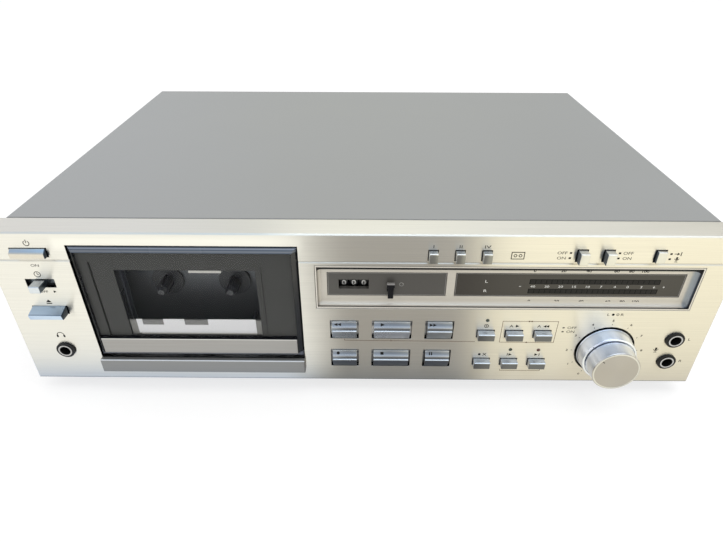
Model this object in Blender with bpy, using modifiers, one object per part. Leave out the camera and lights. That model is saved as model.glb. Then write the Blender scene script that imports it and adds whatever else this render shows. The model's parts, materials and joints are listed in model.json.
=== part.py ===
"""A front-loading cassette deck, 430 mm wide, as separate pieces at rest. Metres, +Z up.

X runs along the front panel, Y runs back from it, and Z starts under the feet. The origin is midway along all
three of the deck's sides, at the level that it stands on.
"""

import math

import bmesh
import bpy
from mathutils import Matrix, Vector

# Clearances and cutting allowances
GAP = 0.0003
OVERRUN = 0.004
OVERLAP = 0.0006
WELD = 0.000002
ROUND_SIDES = 48
HOLE_SIDES = 32
SMALL_SIDES = 16
SHARP_ANGLE = math.radians(32)

# Front panel: columns from left to right, then rows from the bottom up
LEFT_MARGIN = 0.047
DOOR_OPENING_WIDTH = 0.1313
DOOR_TO_DISPLAY = 0.010
DISPLAY_WIDTH = 0.223
RIGHT_MARGIN = 0.0187
SILL_BOTTOM = 0.0091
SILL_HEIGHT = 0.0102
SILL_TO_DOOR = 0.0007
SILL_REACH = 0.0038
DOOR_OPENING_HEIGHT = 0.082
TOP_MARGIN = 0.008
PANEL_WALL = 0.0025
PANEL_EDGE_WALL = 0.002
PANEL_DEPTH = 0.0184
PANEL_EDGE_ROUND = 0.0008
GROOVE_HEIGHT = 0.0918
GROOVE_WIDTH = 0.0014
GROOVE_DEPTH = 0.0006

# Case
FOOT_HEIGHT = 0.010
FOOT_RADIUS = 0.015
FOOT_TIP_RADIUS = 0.013
FOOT_SIDE_INSET = 0.040
FOOT_FRONT_INSET = 0.050
FOOT_REAR_INSET = 0.042
COVER_INSET = 0.006
COVER_DEPTH = 0.282
COVER_SHEET = 0.001
COVER_BEND = 0.0016
PAN_SHEET = 0.0012
PAN_LIP = 0.010
PAN_FRONT_LIP = 0.003

# Display recess with its two plates
KEY_ROW_BOTTOM = 0.0124
KEY_HOLE_HEIGHT = 0.0142
KEY_ROW_GAP = 0.0089
ROW_TO_DISPLAY = 0.0103
DISPLAY_HEIGHT = 0.0284
DISPLAY_DEPTH = 0.004
DISPLAY_COVE = 0.0026
BEZEL_RIM = 0.0008
BEZEL_FLOOR = 0.0015
BEZEL_FLANGE = 0.0018
PLATE_SIDE_MARGIN = 0.0060
PLATE_END_MARGIN = 0.0061
COUNTER_PLATE_WIDTH = 0.0706
PLATE_GAP = 0.0056
PLATE_THICKNESS = 0.002
PLATE_SHY = 0.0002
PLATE_FLANGE = 0.0012
METER_BODY_DEPTH = 0.011
METER_BODY_SHY = 0.004

# Counter
COUNTER_WINDOW_LEFT = 0.0066
COUNTER_WINDOW_WIDTH = 0.018
COUNTER_WINDOW_BOTTOM = 0.0045
COUNTER_WINDOW_HEIGHT = 0.0066
WHEEL_RADIUS = 0.008
WHEEL_WIDTH = 0.0054
WHEEL_PITCH = 0.006
WHEEL_BORE = 0.0013
AXLE_RADIUS = 0.001
COUNTER_WALL = 0.0012
RESET_OFFSET = 0.0376
RESET_WIDTH = 0.0033
RESET_BOTTOM = -0.0002
RESET_HEIGHT = 0.0108
RESET_CAP_WIDTH = 0.0046
RESET_CAP_HEIGHT = 0.0026
RESET_REACH = 0.0037
RESET_TRAVEL = 0.002
RESET_STEM_SHARES = (0.25, 0.75)

# Controls to the left of the door
LEFT_COLUMN = 0.0255
LEFT_KEY_WIDTH = 0.0205
KEY_SLACK = 0.0005
KEY_FLANGE = 0.0012
KEY_FLANGE_THICKNESS = 0.0014
POWER_POP_OUT = 0.004
INPUT_POP_OUT = 0.0027
KEY_EDGE = 0.0004
POWER_BOTTOM = 0.0945
POWER_HEIGHT = 0.0052
POWER_REACH = 0.0036
EJECT_BOTTOM = 0.054
EJECT_HEIGHT = 0.005
EJECT_REACH = 0.0078
TIMER_SLOT_WIDTH = 0.0172
TIMER_SLOT_BOTTOM = 0.073
TIMER_SLOT_HEIGHT = 0.006
TIMER_LEVER_WIDTH = 0.0065
TIMER_LEVER_HEIGHT = 0.0046
TIMER_REACH = 0.0076
TIMER_TRAVEL = 0.0045
TIMER_SLIDE_COVER = 0.0004

# Jacks
JACK_BORE_RADIUS = 0.003175
JACK_TUBE_RADIUS = 0.0043
JACK_TUBE_REACH = 0.0018
JACK_NUT_RADIUS = 0.0057
JACK_NUT_REACH = 0.0013
JACK_NECK_RADIUS = 0.005
JACK_BODY_RADIUS = 0.0075
JACK_BODY_DEPTH = 0.026
JACK_END_WALL = 0.0015
PHONES_HEIGHT = 0.025
MIC_INSET = 0.0194
MIC_LOWER_HEIGHT = 0.0186
MIC_PITCH = 0.0179

# Transport and function keys
KEYS_FROM_DISPLAY = 0.0069
TRANSPORT_LEFT_SHARES = (0, 0.1672, 0.3796)
TRANSPORT_WIDTH_SHARES = (0.1149, 0.1601, 0.1149)
FUNCTION_CENTRE_SHARES = (0.6236, 0.7372, 0.8509)
FUNCTION_WIDTH_SHARE = 0.0658
TRANSPORT_SIDE_SLACK = 0.00125
TRANSPORT_END_SLACK = 0.0007
TRANSPORT_REACH = 0.004
TRANSPORT_TOP_REACH = 0.0003
TRANSPORT_FOOT_REACH = 0.0032
TRANSPORT_RIDGE_DROP = 0.0045
TRANSPORT_RIDGE_FLAT = 0.0007
FUNCTION_KEY_HEIGHT = 0.0053
FUNCTION_KEY_RISE = 0.0020
FUNCTION_KEY_REACH = 0.0048

# Keys above the display
UPPER_KEYS_ABOVE_DISPLAY = 0.0052
UPPER_KEY_SLACK = 0.0006
TAPE_KEY_FROM_DISPLAY = 0.0668
TAPE_KEY_PITCH = 0.0152
TAPE_KEY_WIDTH = 0.005
TAPE_KEY_HEIGHT = 0.0064
TAPE_KEY_REACH = 0.0041
SWITCH_KEY_WIDTH = 0.0053
SWITCH_KEY_HEIGHT = 0.0072
SWITCH_KEY_REACH = 0.005
INPUT_KEY_REACH = 0.0023
NOISE_KEY_INSET = 0.0723
FILTER_KEY_INSET = 0.0573
INPUT_KEY_INSET = 0.0282

# Recording level knob
KNOB_INSET = 0.0612
KNOB_HEIGHT = 0.0273
KNOB_HOLE_RADIUS = 0.0187
RING_BACK_RADIUS = 0.018
RING_FRONT_RADIUS = 0.0168
RING_REACH = 0.0093
RING_SINK = 0.0012
RING_WALL = 0.0015
RING_WEB = 0.0020
RING_HUB_RADIUS = 0.0055
KNOB_BACK_RADIUS = 0.0153
KNOB_FRONT_RADIUS = 0.0148
KNOB_REACH = 0.0199
KNOB_CHAMFER = 0.0006
KNOB_SHAFT_RADIUS = 0.003
POT_PLATE_MARGIN = 0.0012
POT_PLATE_THICKNESS = 0.0012
POT_BODY_WIDTH = 0.026
POT_BODY_DEPTH = 0.020

# Cassette door
DOOR_SLACK = 0.0007
DOOR_REACH = 0.002
DOOR_THICKNESS = 0.008
DOOR_BEVEL = 0.003
DOOR_SWING_ROOM = 0.003
FACE_POCKET_DEPTH = 0.0023
TRIM_HEIGHT = 0.0119
TRIM_RISE = 0.0008
TRIM_TO_WINDOW = 0.0006
WINDOW_THICKNESS = 0.002
VIEW_SIDE_MARGIN = 0.020
VIEW_TOP_MARGIN = 0.0128
HINGE_RISE = 0.0018
HINGE_BEHIND = 0.0045
HINGE_PIN_RADIUS = 0.0015
HINGE_PIN_REACH = 0.0032

# Cassette, and the carrier that holds it
CASSETTE_WIDTH = 0.1004
CASSETTE_HEIGHT = 0.0638
CASSETTE_THICKNESS = 0.012
CASSETTE_SLACK = 0.0005
CASSETTE_RISE = 0.0085
CASSETTE_HUB_PITCH = 0.0425
CASSETTE_HUB_HEIGHT = 0.0346
CARRIER_WALL = 0.0012
CARRIER_SIDE_WALL = 0.0022
CARRIER_LIP = 0.004
CARRIER_LEDGE = 0.010
CARRIER_LEDGE_THICKNESS = 0.003

# Tape mechanism
PLATE_BEHIND_CARRIER = 0.0023
MECHANISM_SHEET = 0.0015
MECHANISM_EAR = 0.0012
MECHANISM_EAR_HEIGHT = 0.011
MECHANISM_HEIGHT = 0.100
MECHANISM_FOOT = 0.014
BRACKET_BEHIND = 0.022
BRACKET_HEIGHT = 0.064
BRACKET_SIDE_MARGIN = 0.006
BRACKET_POST_RADIUS = 0.0025
BRACKET_POST_INSET = 0.004
SPINDLE_RADIUS = 0.0034
SPINDLE_TIP_RADIUS = 0.002
SPINDLE_INTO_CASSETTE = 0.0115
SPINDLE_TIP = 0.0025
REEL_TABLE_RADIUS = 0.010
REEL_TABLE_THICKNESS = 0.0014
SPINDLE_SHAFT_RADIUS = 0.0017
SPINDLE_TAIL = 0.0015
SPINDLE_FIN = 0.0009
SPINDLE_FIN_WIDTH = 0.0010
CAPSTAN_RADIUS = 0.0012
CAPSTAN_OFFSET = 0.0318
CAPSTAN_RISE = 0.008
CAPSTAN_INTO_CASSETTE = 0.011
FLYWHEEL_RADIUS = 0.0265
FLYWHEEL_WIDTH = 0.009
FLYWHEEL_BEHIND = 0.006
FLYWHEEL_TAIL = 0.0025
MOTOR_RADIUS = 0.0175
MOTOR_DEPTH = 0.028
MOTOR_OFFSET = -0.028
MOTOR_HEIGHT = 0.030
PULLEY_RADIUS = 0.005
PULLEY_BORE = 0.0013
PULLEY_WIDTH = 0.006
MOTOR_SHAFT_RADIUS = 0.001
BELT_RADIUS = 0.0007
BELT_ARC_POINTS = 14
BRIDGE_THICKNESS = 0.0012
BRIDGE_WIDTH = 0.050
BRIDGE_HEIGHT = 0.016
BRIDGE_HEAD_DROP = 0.0015
BRIDGE_TRAVEL = 0.007
HEAD_WIDTH = 0.014
HEAD_HEIGHT = 0.010
HEAD_DEPTH = 0.0125
ERASE_HEAD_WIDTH = 0.010
ERASE_HEAD_OFFSET = 0.017
ROLLER_RADIUS = 0.005
ROLLER_BORE = 0.0013
ROLLER_WIDTH = 0.008
ROLLER_DROP = 0.0015
ROLLER_NIP = 0.0002
ROLLER_PIN_RADIUS = 0.001
ARM_REACH = 0.0162
ARM_HALF_WIDTH = 0.003
ARM_PIN_RADIUS = 0.0015

# Inside the case and on its rear wall
TRANSFORMER_INSET = 0.022
TRANSFORMER_WIDTH = 0.050
TRANSFORMER_DEPTH = 0.044
TRANSFORMER_HEIGHT = 0.042
TRANSFORMER_FROM_REAR = 0.034
TRANSFORMER_CORE_DEPTH = 0.020
TRANSFORMER_COIL_WIDTH = 0.032
TRANSFORMER_COIL_HEIGHT = 0.032
BOARD_INSET = 0.022
BOARD_WIDTH = 0.196
BOARD_DEPTH = 0.150
BOARD_THICKNESS = 0.0016
BOARD_FROM_REAR = 0.030
BOARD_POST_HEIGHT = 0.008
BOARD_POST_RADIUS = 0.0035
BOARD_POST_INSET = 0.008
CAPACITOR_RADIUS = 0.008
CAPACITOR_HEIGHT = 0.025
CAPACITOR_PITCH = 0.021
CAPACITOR_COUNT = 4
CHIP_WIDTH = 0.022
CHIP_DEPTH = 0.008
CHIP_HEIGHT = 0.0045
CHIP_PITCH = 0.040
CHIP_COUNT = 4
LINE_JACK_INSET = 0.110
LINE_JACK_HEIGHT = 0.050
LINE_JACK_PITCH = 0.016
LINE_JACK_BLOCK_MARGIN = 0.010
LINE_JACK_BLOCK_DEPTH = 0.014
LINE_JACK_RADIUS = 0.00415
LINE_JACK_BORE = 0.0017
LINE_JACK_REACH = 0.008
LINE_JACK_BORE_DEPTH = 0.010
INLET_INSET = 0.052
INLET_HEIGHT = 0.045
INLET_WIDTH = 0.022
INLET_BODY_HEIGHT = 0.014
INLET_FLANGE = 0.0025
INLET_FLANGE_THICKNESS = 0.0015
INLET_BODY_DEPTH = 0.016
INLET_RECESS_WIDTH = 0.0142
INLET_RECESS_HEIGHT = 0.008
INLET_RECESS_DEPTH = 0.011
INLET_PIN_PITCH = 0.0086
INLET_PIN_RADIUS = 0.0012
INLET_PIN_SHY = 0.002

# Overall sizes that follow from the sizes above
PANEL_WIDTH = LEFT_MARGIN + DOOR_OPENING_WIDTH + DOOR_TO_DISPLAY + DISPLAY_WIDTH + RIGHT_MARGIN
DOOR_OPENING_BOTTOM = SILL_BOTTOM + SILL_HEIGHT + SILL_TO_DOOR
PANEL_HEIGHT = DOOR_OPENING_BOTTOM + DOOR_OPENING_HEIGHT + TOP_MARGIN
COVER_START = PANEL_DEPTH + GAP
REAR = COVER_START + COVER_DEPTH
REAR_WALL_BACK = REAR - GAP
REAR_WALL_FRONT = REAR_WALL_BACK - PAN_SHEET
PAN_BOTTOM = PANEL_EDGE_WALL + GAP
PAN_TOP = PAN_BOTTOM + PAN_SHEET
LEFT_EDGE = -PANEL_WIDTH / 2
FACE = (KNOB_REACH - REAR_WALL_BACK - LINE_JACK_REACH) / 2
KEY_BACK = PANEL_WALL + GAP
UPPER_ROW_BOTTOM = KEY_ROW_BOTTOM + KEY_HOLE_HEIGHT + KEY_ROW_GAP
DISPLAY_LEFT = LEFT_MARGIN + DOOR_OPENING_WIDTH + DOOR_TO_DISPLAY
DISPLAY_RIGHT = DISPLAY_LEFT + DISPLAY_WIDTH
DISPLAY_BOTTOM = UPPER_ROW_BOTTOM + KEY_HOLE_HEIGHT + ROW_TO_DISPLAY
DISPLAY_TOP = DISPLAY_BOTTOM + DISPLAY_HEIGHT
UPPER_KEYS_BOTTOM = DISPLAY_TOP + UPPER_KEYS_ABOVE_DISPLAY
DOOR_LEFT = LEFT_MARGIN + DOOR_SLACK
DOOR_RIGHT = LEFT_MARGIN + DOOR_OPENING_WIDTH - DOOR_SLACK
DOOR_BOTTOM = DOOR_OPENING_BOTTOM + DOOR_SLACK
DOOR_TOP = DOOR_OPENING_BOTTOM + DOOR_OPENING_HEIGHT - DOOR_SLACK
DOOR_MIDDLE = (DOOR_LEFT + DOOR_RIGHT) / 2
DOOR_BACK = DOOR_THICKNESS - DOOR_REACH
HINGE_HEIGHT = DOOR_BOTTOM + HINGE_RISE
VIEW_LEFT = DOOR_LEFT + DOOR_BEVEL + VIEW_SIDE_MARGIN
VIEW_RIGHT = DOOR_RIGHT - DOOR_BEVEL - VIEW_SIDE_MARGIN
VIEW_TOP = DOOR_TOP - DOOR_BEVEL - VIEW_TOP_MARGIN
TRIM_BOTTOM = DOOR_BOTTOM + DOOR_BEVEL + TRIM_RISE
WINDOW_BOTTOM = TRIM_BOTTOM + TRIM_HEIGHT + TRIM_TO_WINDOW
CASSETTE_BOTTOM = DOOR_BOTTOM + CASSETTE_RISE
POCKET_LEFT = DOOR_MIDDLE - CASSETTE_WIDTH / 2 - CASSETTE_SLACK
POCKET_RIGHT = DOOR_MIDDLE + CASSETTE_WIDTH / 2 + CASSETTE_SLACK
CARRIER_FRONT = DOOR_BACK + GAP
POCKET_FRONT = CARRIER_FRONT + CARRIER_WALL
POCKET_BACK = POCKET_FRONT + CASSETTE_THICKNESS + CASSETTE_SLACK
CARRIER_BACK = POCKET_BACK + CARRIER_WALL
CARRIER_BOTTOM = CASSETTE_BOTTOM - CARRIER_LEDGE_THICKNESS
CARRIER_TOP = CASSETTE_BOTTOM + CASSETTE_HEIGHT
MECHANISM_FRONT = CARRIER_BACK + PLATE_BEHIND_CARRIER
MECHANISM_BACK = MECHANISM_FRONT + MECHANISM_SHEET
BRACKET_FRONT = MECHANISM_BACK + BRACKET_BEHIND
BRACKET_BACK = BRACKET_FRONT + PAN_SHEET
MECHANISM_BOTTOM = PAN_TOP + GAP
SPINDLE_HEIGHT = CASSETTE_BOTTOM + CASSETTE_HUB_HEIGHT
CAPSTAN_X = DOOR_MIDDLE + CAPSTAN_OFFSET
CAPSTAN_HEIGHT = CASSETTE_BOTTOM + CAPSTAN_RISE
MOTOR_X = DOOR_MIDDLE + MOTOR_OFFSET
PULLEY_FRONT = MECHANISM_BACK + FLYWHEEL_BEHIND + (FLYWHEEL_WIDTH - PULLEY_WIDTH) / 2
KNOB_X = PANEL_WIDTH - KNOB_INSET
CONTROLS_LEFT = DISPLAY_LEFT + KEYS_FROM_DISPLAY
CONTROLS_WIDTH = KNOB_X - KNOB_HOLE_RADIUS - CONTROLS_LEFT
FUNCTION_KEY_WIDTH = FUNCTION_WIDTH_SHARE * CONTROLS_WIDTH
MIC_X = PANEL_WIDTH - MIC_INSET


def across(distance):
    """World X of a distance from the panel's left edge."""
    return LEFT_EDGE + distance


def back(distance):
    """World Y of a distance behind the panel's face."""
    return FACE + distance


def up(height):
    """World Z of a height above the panel's bottom edge."""
    return FOOT_HEIGHT + height


def at(x, y, z):
    return Vector((across(x), back(y), up(z)))


def collection(name):
    made = bpy.data.collections.new(name)
    bpy.context.scene.collection.children.link(made)
    return made


def material(name, colour, roughness, metallic=0.0, alpha=1.0):
    made = bpy.data.materials.new(name)
    made.use_nodes = True
    shader = made.node_tree.nodes["Principled BSDF"]
    shader.inputs["Base Color"].default_value = (*colour, 1)
    shader.inputs["Roughness"].default_value = roughness
    shader.inputs["Metallic"].default_value = metallic
    shader.inputs["Alpha"].default_value = alpha
    return made


def add_box(shape, low, high, bevel=0.0):
    """A box between two corners, each given as panel distances, with its edges cut back by bevel."""
    low = at(*low)
    high = at(*high)
    place = Matrix.Translation((low + high) / 2) @ Matrix.Diagonal((*(high - low), 1))
    corners = bmesh.ops.create_cube(shape, size=1, matrix=place)["verts"]
    if bevel:
        edges = {edge for corner in corners for edge in corner.link_edges}
        bmesh.ops.bevel(shape, geom=list(edges), offset=bevel, segments=1, affect="EDGES")
    return shape


def add_rod(shape, start, end, radius, end_radius=None, sides=SMALL_SIDES):
    """A cylinder or a cone between two points, given as panel distances."""
    start = at(*start)
    end = at(*end)
    along = end - start
    turn = Vector((0, 0, 1)).rotation_difference(along).to_matrix().to_4x4()
    bmesh.ops.create_cone(
        shape,
        cap_ends=True,
        segments=sides,
        radius1=radius,
        radius2=radius if end_radius is None else end_radius,
        depth=along.length,
        matrix=Matrix.Translation((start + end) / 2) @ turn,
    )
    return shape


def box(low, high, bevel=0.0):
    return add_box(bmesh.new(), low, high, bevel)


def rod(start, end, radius, end_radius=None, sides=SMALL_SIDES):
    return add_rod(bmesh.new(), start, end, radius, end_radius, sides)


def shape_of(maker):
    """The closed shape that an object with modifiers, or a curve, comes to. It removes the object."""
    bpy.context.scene.collection.objects.link(maker)
    graph = bpy.context.evaluated_depsgraph_get()
    mesh = bpy.data.meshes.new_from_object(maker.evaluated_get(graph))
    shape = bmesh.new()
    shape.from_mesh(mesh)
    bmesh.ops.remove_doubles(shape, verts=shape.verts, dist=WELD)
    bpy.data.objects.remove(maker)
    bpy.data.meshes.remove(mesh)
    return shape


def outline(points, left, right):
    """A flat outline of (distance back, height) points, extruded along X between two panel distances."""
    curve = bpy.data.curves.new("outline", "CURVE")
    curve.dimensions = "2D"
    curve.fill_mode = "BOTH"
    curve.extrude = (right - left) / 2
    spline = curve.splines.new("POLY")
    spline.points.add(len(points) - 1)
    for point, (distance, height) in zip(spline.points, points):
        point.co = (back(distance), up(height), 0, 1)
    spline.use_cyclic_u = True
    shape = shape_of(bpy.data.objects.new("outline", curve))
    to_side = Matrix(((0, 0, 1, across((left + right) / 2)), (1, 0, 0, 0), (0, 1, 0, 0), (0, 0, 0, 1)))
    bmesh.ops.transform(shape, matrix=to_side, verts=shape.verts)
    bmesh.ops.recalc_face_normals(shape, faces=shape.faces)
    return shape


def turned(profile, centre, closed=False, sides=ROUND_SIDES, facing=-1):
    """A profile of (radius, reach) points turned about a line along Y. A reach of zero lies at the centre."""
    mesh = bpy.data.meshes.new("profile")
    count = len(profile)
    edges = [(i, (i + 1) % count) for i in range(count if closed else count - 1)]
    mesh.from_pydata([(radius, 0, reach) for radius, reach in profile], edges, [])
    maker = bpy.data.objects.new("profile", mesh)
    screw = maker.modifiers.new("Screw", "SCREW")
    screw.steps = sides
    screw.render_steps = sides
    screw.use_merge_vertices = True
    screw.merge_threshold = WELD
    shape = shape_of(maker)
    turn = Matrix.Rotation(-facing * math.pi / 2, 4, "X")
    bmesh.ops.transform(shape, matrix=Matrix.Translation(at(*centre)) @ turn, verts=shape.verts)
    bmesh.ops.recalc_face_normals(shape, faces=shape.faces)
    return shape


def piece(name, shape, origin, finish, parent=None):
    """A named part made from a shape in world places, with its own origin."""
    mesh = bpy.data.meshes.new(name)
    bmesh.ops.translate(shape, vec=-origin, verts=shape.verts)
    shape.to_mesh(mesh)
    shape.free()
    mesh.materials.append(finish)
    mesh.shade_smooth()
    mesh.set_sharp_from_angle(angle=SHARP_ANGLE)
    made = bpy.data.objects.new(name, mesh)
    PARTS.objects.link(made)
    made.parent = parent or ORIGIN
    made.location = origin - made.parent.location
    return made


def combine(target, shape, operation, crossing=False):
    """Joins a shape to a part, or cuts it away. Crossing says that its own solids cross each other."""
    mesh = bpy.data.meshes.new(f"{target.name}_{operation.lower()}")
    shape.to_mesh(mesh)
    shape.free()
    helper = bpy.data.objects.new(mesh.name, mesh)
    helper.hide_render = True
    helper.display_type = "WIRE"
    CUTTERS.objects.link(helper)
    modifier = target.modifiers.new(operation.title(), "BOOLEAN")
    modifier.operation = operation
    modifier.object = helper
    modifier.use_self = crossing


def join(target, shape, crossing=False):
    combine(target, shape, "UNION", crossing)


def cut(target, shape, crossing=False):
    combine(target, shape, "DIFFERENCE", crossing)


def add_key_hole(shape, left, bottom, width, height, slack):
    return add_box(
        shape,
        (left - slack, -OVERRUN, bottom - slack),
        (left + width + slack, PANEL_WALL + OVERRUN, bottom + height + slack),
    )


def transport_columns():
    """The left edge and the width of each transport key hole."""
    shares = zip(TRANSPORT_LEFT_SHARES, TRANSPORT_WIDTH_SHARES)
    return [(CONTROLS_LEFT + left * CONTROLS_WIDTH, width * CONTROLS_WIDTH) for left, width in shares]


def function_centres():
    return [CONTROLS_LEFT + share * CONTROLS_WIDTH for share in FUNCTION_CENTRE_SHARES]


def box_keys():
    """Name, left, bottom, width, height, reach and slack of each plain key."""
    upper = UPPER_KEYS_BOTTOM
    left = LEFT_COLUMN - LEFT_KEY_WIDTH / 2
    rows = [
        ("power_button", left, POWER_BOTTOM, LEFT_KEY_WIDTH, POWER_HEIGHT, POWER_REACH, KEY_SLACK),
        ("eject_button", left, EJECT_BOTTOM, LEFT_KEY_WIDTH, EJECT_HEIGHT, EJECT_REACH, KEY_SLACK),
    ]
    for i, name in enumerate(("tape_key_normal", "tape_key_chrome", "tape_key_metal")):
        left = DISPLAY_LEFT + TAPE_KEY_FROM_DISPLAY + i * TAPE_KEY_PITCH - TAPE_KEY_WIDTH / 2
        rows.append((name, left, upper, TAPE_KEY_WIDTH, TAPE_KEY_HEIGHT, TAPE_KEY_REACH, KEY_SLACK))
    for name, inset, reach in (
        ("noise_reduction_key", NOISE_KEY_INSET, SWITCH_KEY_REACH),
        ("filter_key", FILTER_KEY_INSET, SWITCH_KEY_REACH),
        ("input_key", INPUT_KEY_INSET, INPUT_KEY_REACH),
    ):
        left = DISPLAY_RIGHT - inset - SWITCH_KEY_WIDTH / 2
        rows.append((name, left, upper, SWITCH_KEY_WIDTH, SWITCH_KEY_HEIGHT, reach, UPPER_KEY_SLACK))
    width = FUNCTION_KEY_WIDTH
    for row_bottom, names in (
        (UPPER_ROW_BOTTOM, ("monitor_key", "auto_play_key", "auto_rewind_key")),
        (KEY_ROW_BOTTOM, ("record_mute_key", "memory_start_key", "memory_end_key")),
    ):
        for centre, name in zip(function_centres(), names):
            left = centre - width / 2
            bottom = row_bottom + FUNCTION_KEY_RISE
            rows.append((name, left, bottom, width, FUNCTION_KEY_HEIGHT, FUNCTION_KEY_REACH, KEY_SLACK))
    return rows


def front_panel(finish):
    middle = at(PANEL_WIDTH / 2, 0, PANEL_HEIGHT / 2)
    low = (0, 0, 0)
    high = (PANEL_WIDTH, PANEL_DEPTH, PANEL_HEIGHT)
    panel = piece("front_panel", box(low, high, PANEL_EDGE_ROUND), middle, finish)
    side_wall = COVER_INSET + COVER_SHEET
    low = (side_wall, PANEL_WALL, PANEL_EDGE_WALL)
    high = (PANEL_WIDTH - side_wall, PANEL_DEPTH + OVERRUN, PANEL_HEIGHT - PANEL_EDGE_WALL)
    cut(panel, box(low, high))
    holes = bmesh.new()
    add_box(
        holes,
        (LEFT_MARGIN, -OVERRUN, DOOR_OPENING_BOTTOM - DOOR_SWING_ROOM),
        (LEFT_MARGIN + DOOR_OPENING_WIDTH, PANEL_WALL + OVERRUN, DOOR_OPENING_BOTTOM + DOOR_OPENING_HEIGHT),
    )
    rim = BEZEL_RIM + GAP
    add_key_hole(holes, DISPLAY_LEFT, DISPLAY_BOTTOM, DISPLAY_WIDTH, DISPLAY_HEIGHT, rim)
    for _, left, bottom, width, height, _, slack in box_keys():
        add_key_hole(holes, left, bottom, width, height, slack)
    slot_left = LEFT_COLUMN - TIMER_SLOT_WIDTH / 2
    add_key_hole(holes, slot_left, TIMER_SLOT_BOTTOM, TIMER_SLOT_WIDTH, TIMER_SLOT_HEIGHT, 0)
    for bottom in (KEY_ROW_BOTTOM, UPPER_ROW_BOTTOM):
        for left, width in transport_columns():
            add_key_hole(holes, left, bottom, width, KEY_HOLE_HEIGHT, 0)
    for x, z in jack_places():
        neck = JACK_NECK_RADIUS + GAP
        add_rod(holes, (x, -OVERRUN, z), (x, PANEL_WALL + OVERRUN, z), neck, sides=HOLE_SIDES)
    start = (KNOB_X, -OVERRUN, KNOB_HEIGHT)
    end = (KNOB_X, PANEL_WALL + OVERRUN, KNOB_HEIGHT)
    add_rod(holes, start, end, KNOB_HOLE_RADIUS, sides=HOLE_SIDES)
    cut(panel, holes)
    half = GROOVE_WIDTH / 2
    grooves = [
        (-GROOVE_DEPTH, GROOVE_HEIGHT - GROOVE_WIDTH),
        (-GROOVE_DEPTH, GROOVE_HEIGHT + GROOVE_WIDTH),
        (0, GROOVE_HEIGHT + half),
        (GROOVE_DEPTH, GROOVE_HEIGHT),
        (0, GROOVE_HEIGHT - half),
    ]
    cut(panel, outline(grooves, -OVERRUN, PANEL_WIDTH + OVERRUN))


def jack_places():
    return [(LEFT_COLUMN, PHONES_HEIGHT), (MIC_X, MIC_LOWER_HEIGHT + MIC_PITCH), (MIC_X, MIC_LOWER_HEIGHT)]


def door_sill(finish):
    high = (LEFT_MARGIN + DOOR_OPENING_WIDTH, -GAP, SILL_BOTTOM + SILL_HEIGHT)
    low = (LEFT_MARGIN, -SILL_REACH, SILL_BOTTOM)
    piece("door_sill", box(low, high, KEY_EDGE), at(DOOR_MIDDLE, 0, SILL_BOTTOM), finish)


def top_cover(finish):
    """A sheet bent round the top and both sides."""
    left = COVER_INSET
    right = PANEL_WIDTH - COVER_INSET
    mesh = bpy.data.meshes.new("sheet")
    corners = []
    for y in (COVER_START, REAR):
        for x, z in ((left, PAN_BOTTOM), (left, PANEL_HEIGHT), (right, PANEL_HEIGHT), (right, PAN_BOTTOM)):
            corners.append(at(x, y, z))
    faces = [(i + 4, i + 5, i + 1, i) for i in range(3)]
    mesh.from_pydata(corners, [], faces)
    maker = bpy.data.objects.new("sheet", mesh)
    bend = maker.modifiers.new("Bend", "BEVEL")
    bend.width = COVER_BEND
    bend.segments = 3
    bend.limit_method = "ANGLE"
    sheet = maker.modifiers.new("Sheet", "SOLIDIFY")
    sheet.thickness = COVER_SHEET
    sheet.offset = 1
    sheet.use_even_offset = True
    shape = shape_of(maker)
    bmesh.ops.recalc_face_normals(shape, faces=shape.faces)
    piece("top_cover", shape, at(PANEL_WIDTH / 2, (COVER_START + REAR) / 2, PANEL_HEIGHT / 2), finish)


def board_posts():
    """Places of the four posts under the main board."""
    right = PANEL_WIDTH - COVER_INSET - BOARD_INSET
    rear = REAR_WALL_FRONT - BOARD_FROM_REAR
    xs = (right - BOARD_WIDTH + BOARD_POST_INSET, right - BOARD_POST_INSET)
    ys = (rear - BOARD_DEPTH + BOARD_POST_INSET, rear - BOARD_POST_INSET)
    return [(x, y) for x in xs for y in ys]


def chassis_pan(finish):
    """The bottom sheet with its lips, and the rear wall bent up from it."""
    side = COVER_INSET + COVER_SHEET + GAP
    left = side
    right = PANEL_WIDTH - side
    top = PANEL_HEIGHT - COVER_SHEET - GAP
    middle = at(PANEL_WIDTH / 2, REAR / 2, PAN_BOTTOM)
    low = (left, KEY_BACK, PAN_BOTTOM)
    pan = piece("chassis_pan", box(low, (right, REAR_WALL_BACK, PAN_TOP)), middle, finish)
    walls = bmesh.new()
    add_box(walls, (left, REAR_WALL_FRONT, PAN_BOTTOM), (right, REAR_WALL_BACK, top))
    lip_top = PAN_TOP + PAN_LIP
    add_box(walls, (left, COVER_START, PAN_BOTTOM), (left + PAN_SHEET, REAR_WALL_BACK, lip_top))
    add_box(walls, (right - PAN_SHEET, COVER_START, PAN_BOTTOM), (right, REAR_WALL_BACK, lip_top))
    add_box(walls, low, (right, KEY_BACK + PAN_SHEET, PAN_TOP + PAN_FRONT_LIP))
    for x, y in board_posts():
        add_rod(walls, (x, y, PAN_BOTTOM), (x, y, PAN_TOP + BOARD_POST_HEIGHT), BOARD_POST_RADIUS)
    join(pan, walls, crossing=True)
    holes = bmesh.new()
    for x, z in line_jack_places():
        start = (x, REAR_WALL_FRONT - OVERRUN, z)
        end = (x, REAR_WALL_BACK + OVERRUN, z)
        add_rod(holes, start, end, LINE_JACK_RADIUS + GAP)
    half = INLET_WIDTH / 2 + GAP
    half_height = INLET_BODY_HEIGHT / 2 + GAP
    inlet = INLET_INSET
    add_box(
        holes,
        (inlet - half, REAR_WALL_FRONT - OVERRUN, INLET_HEIGHT - half_height),
        (inlet + half, REAR_WALL_BACK + OVERRUN, INLET_HEIGHT + half_height),
    )
    cut(pan, holes)


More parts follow.
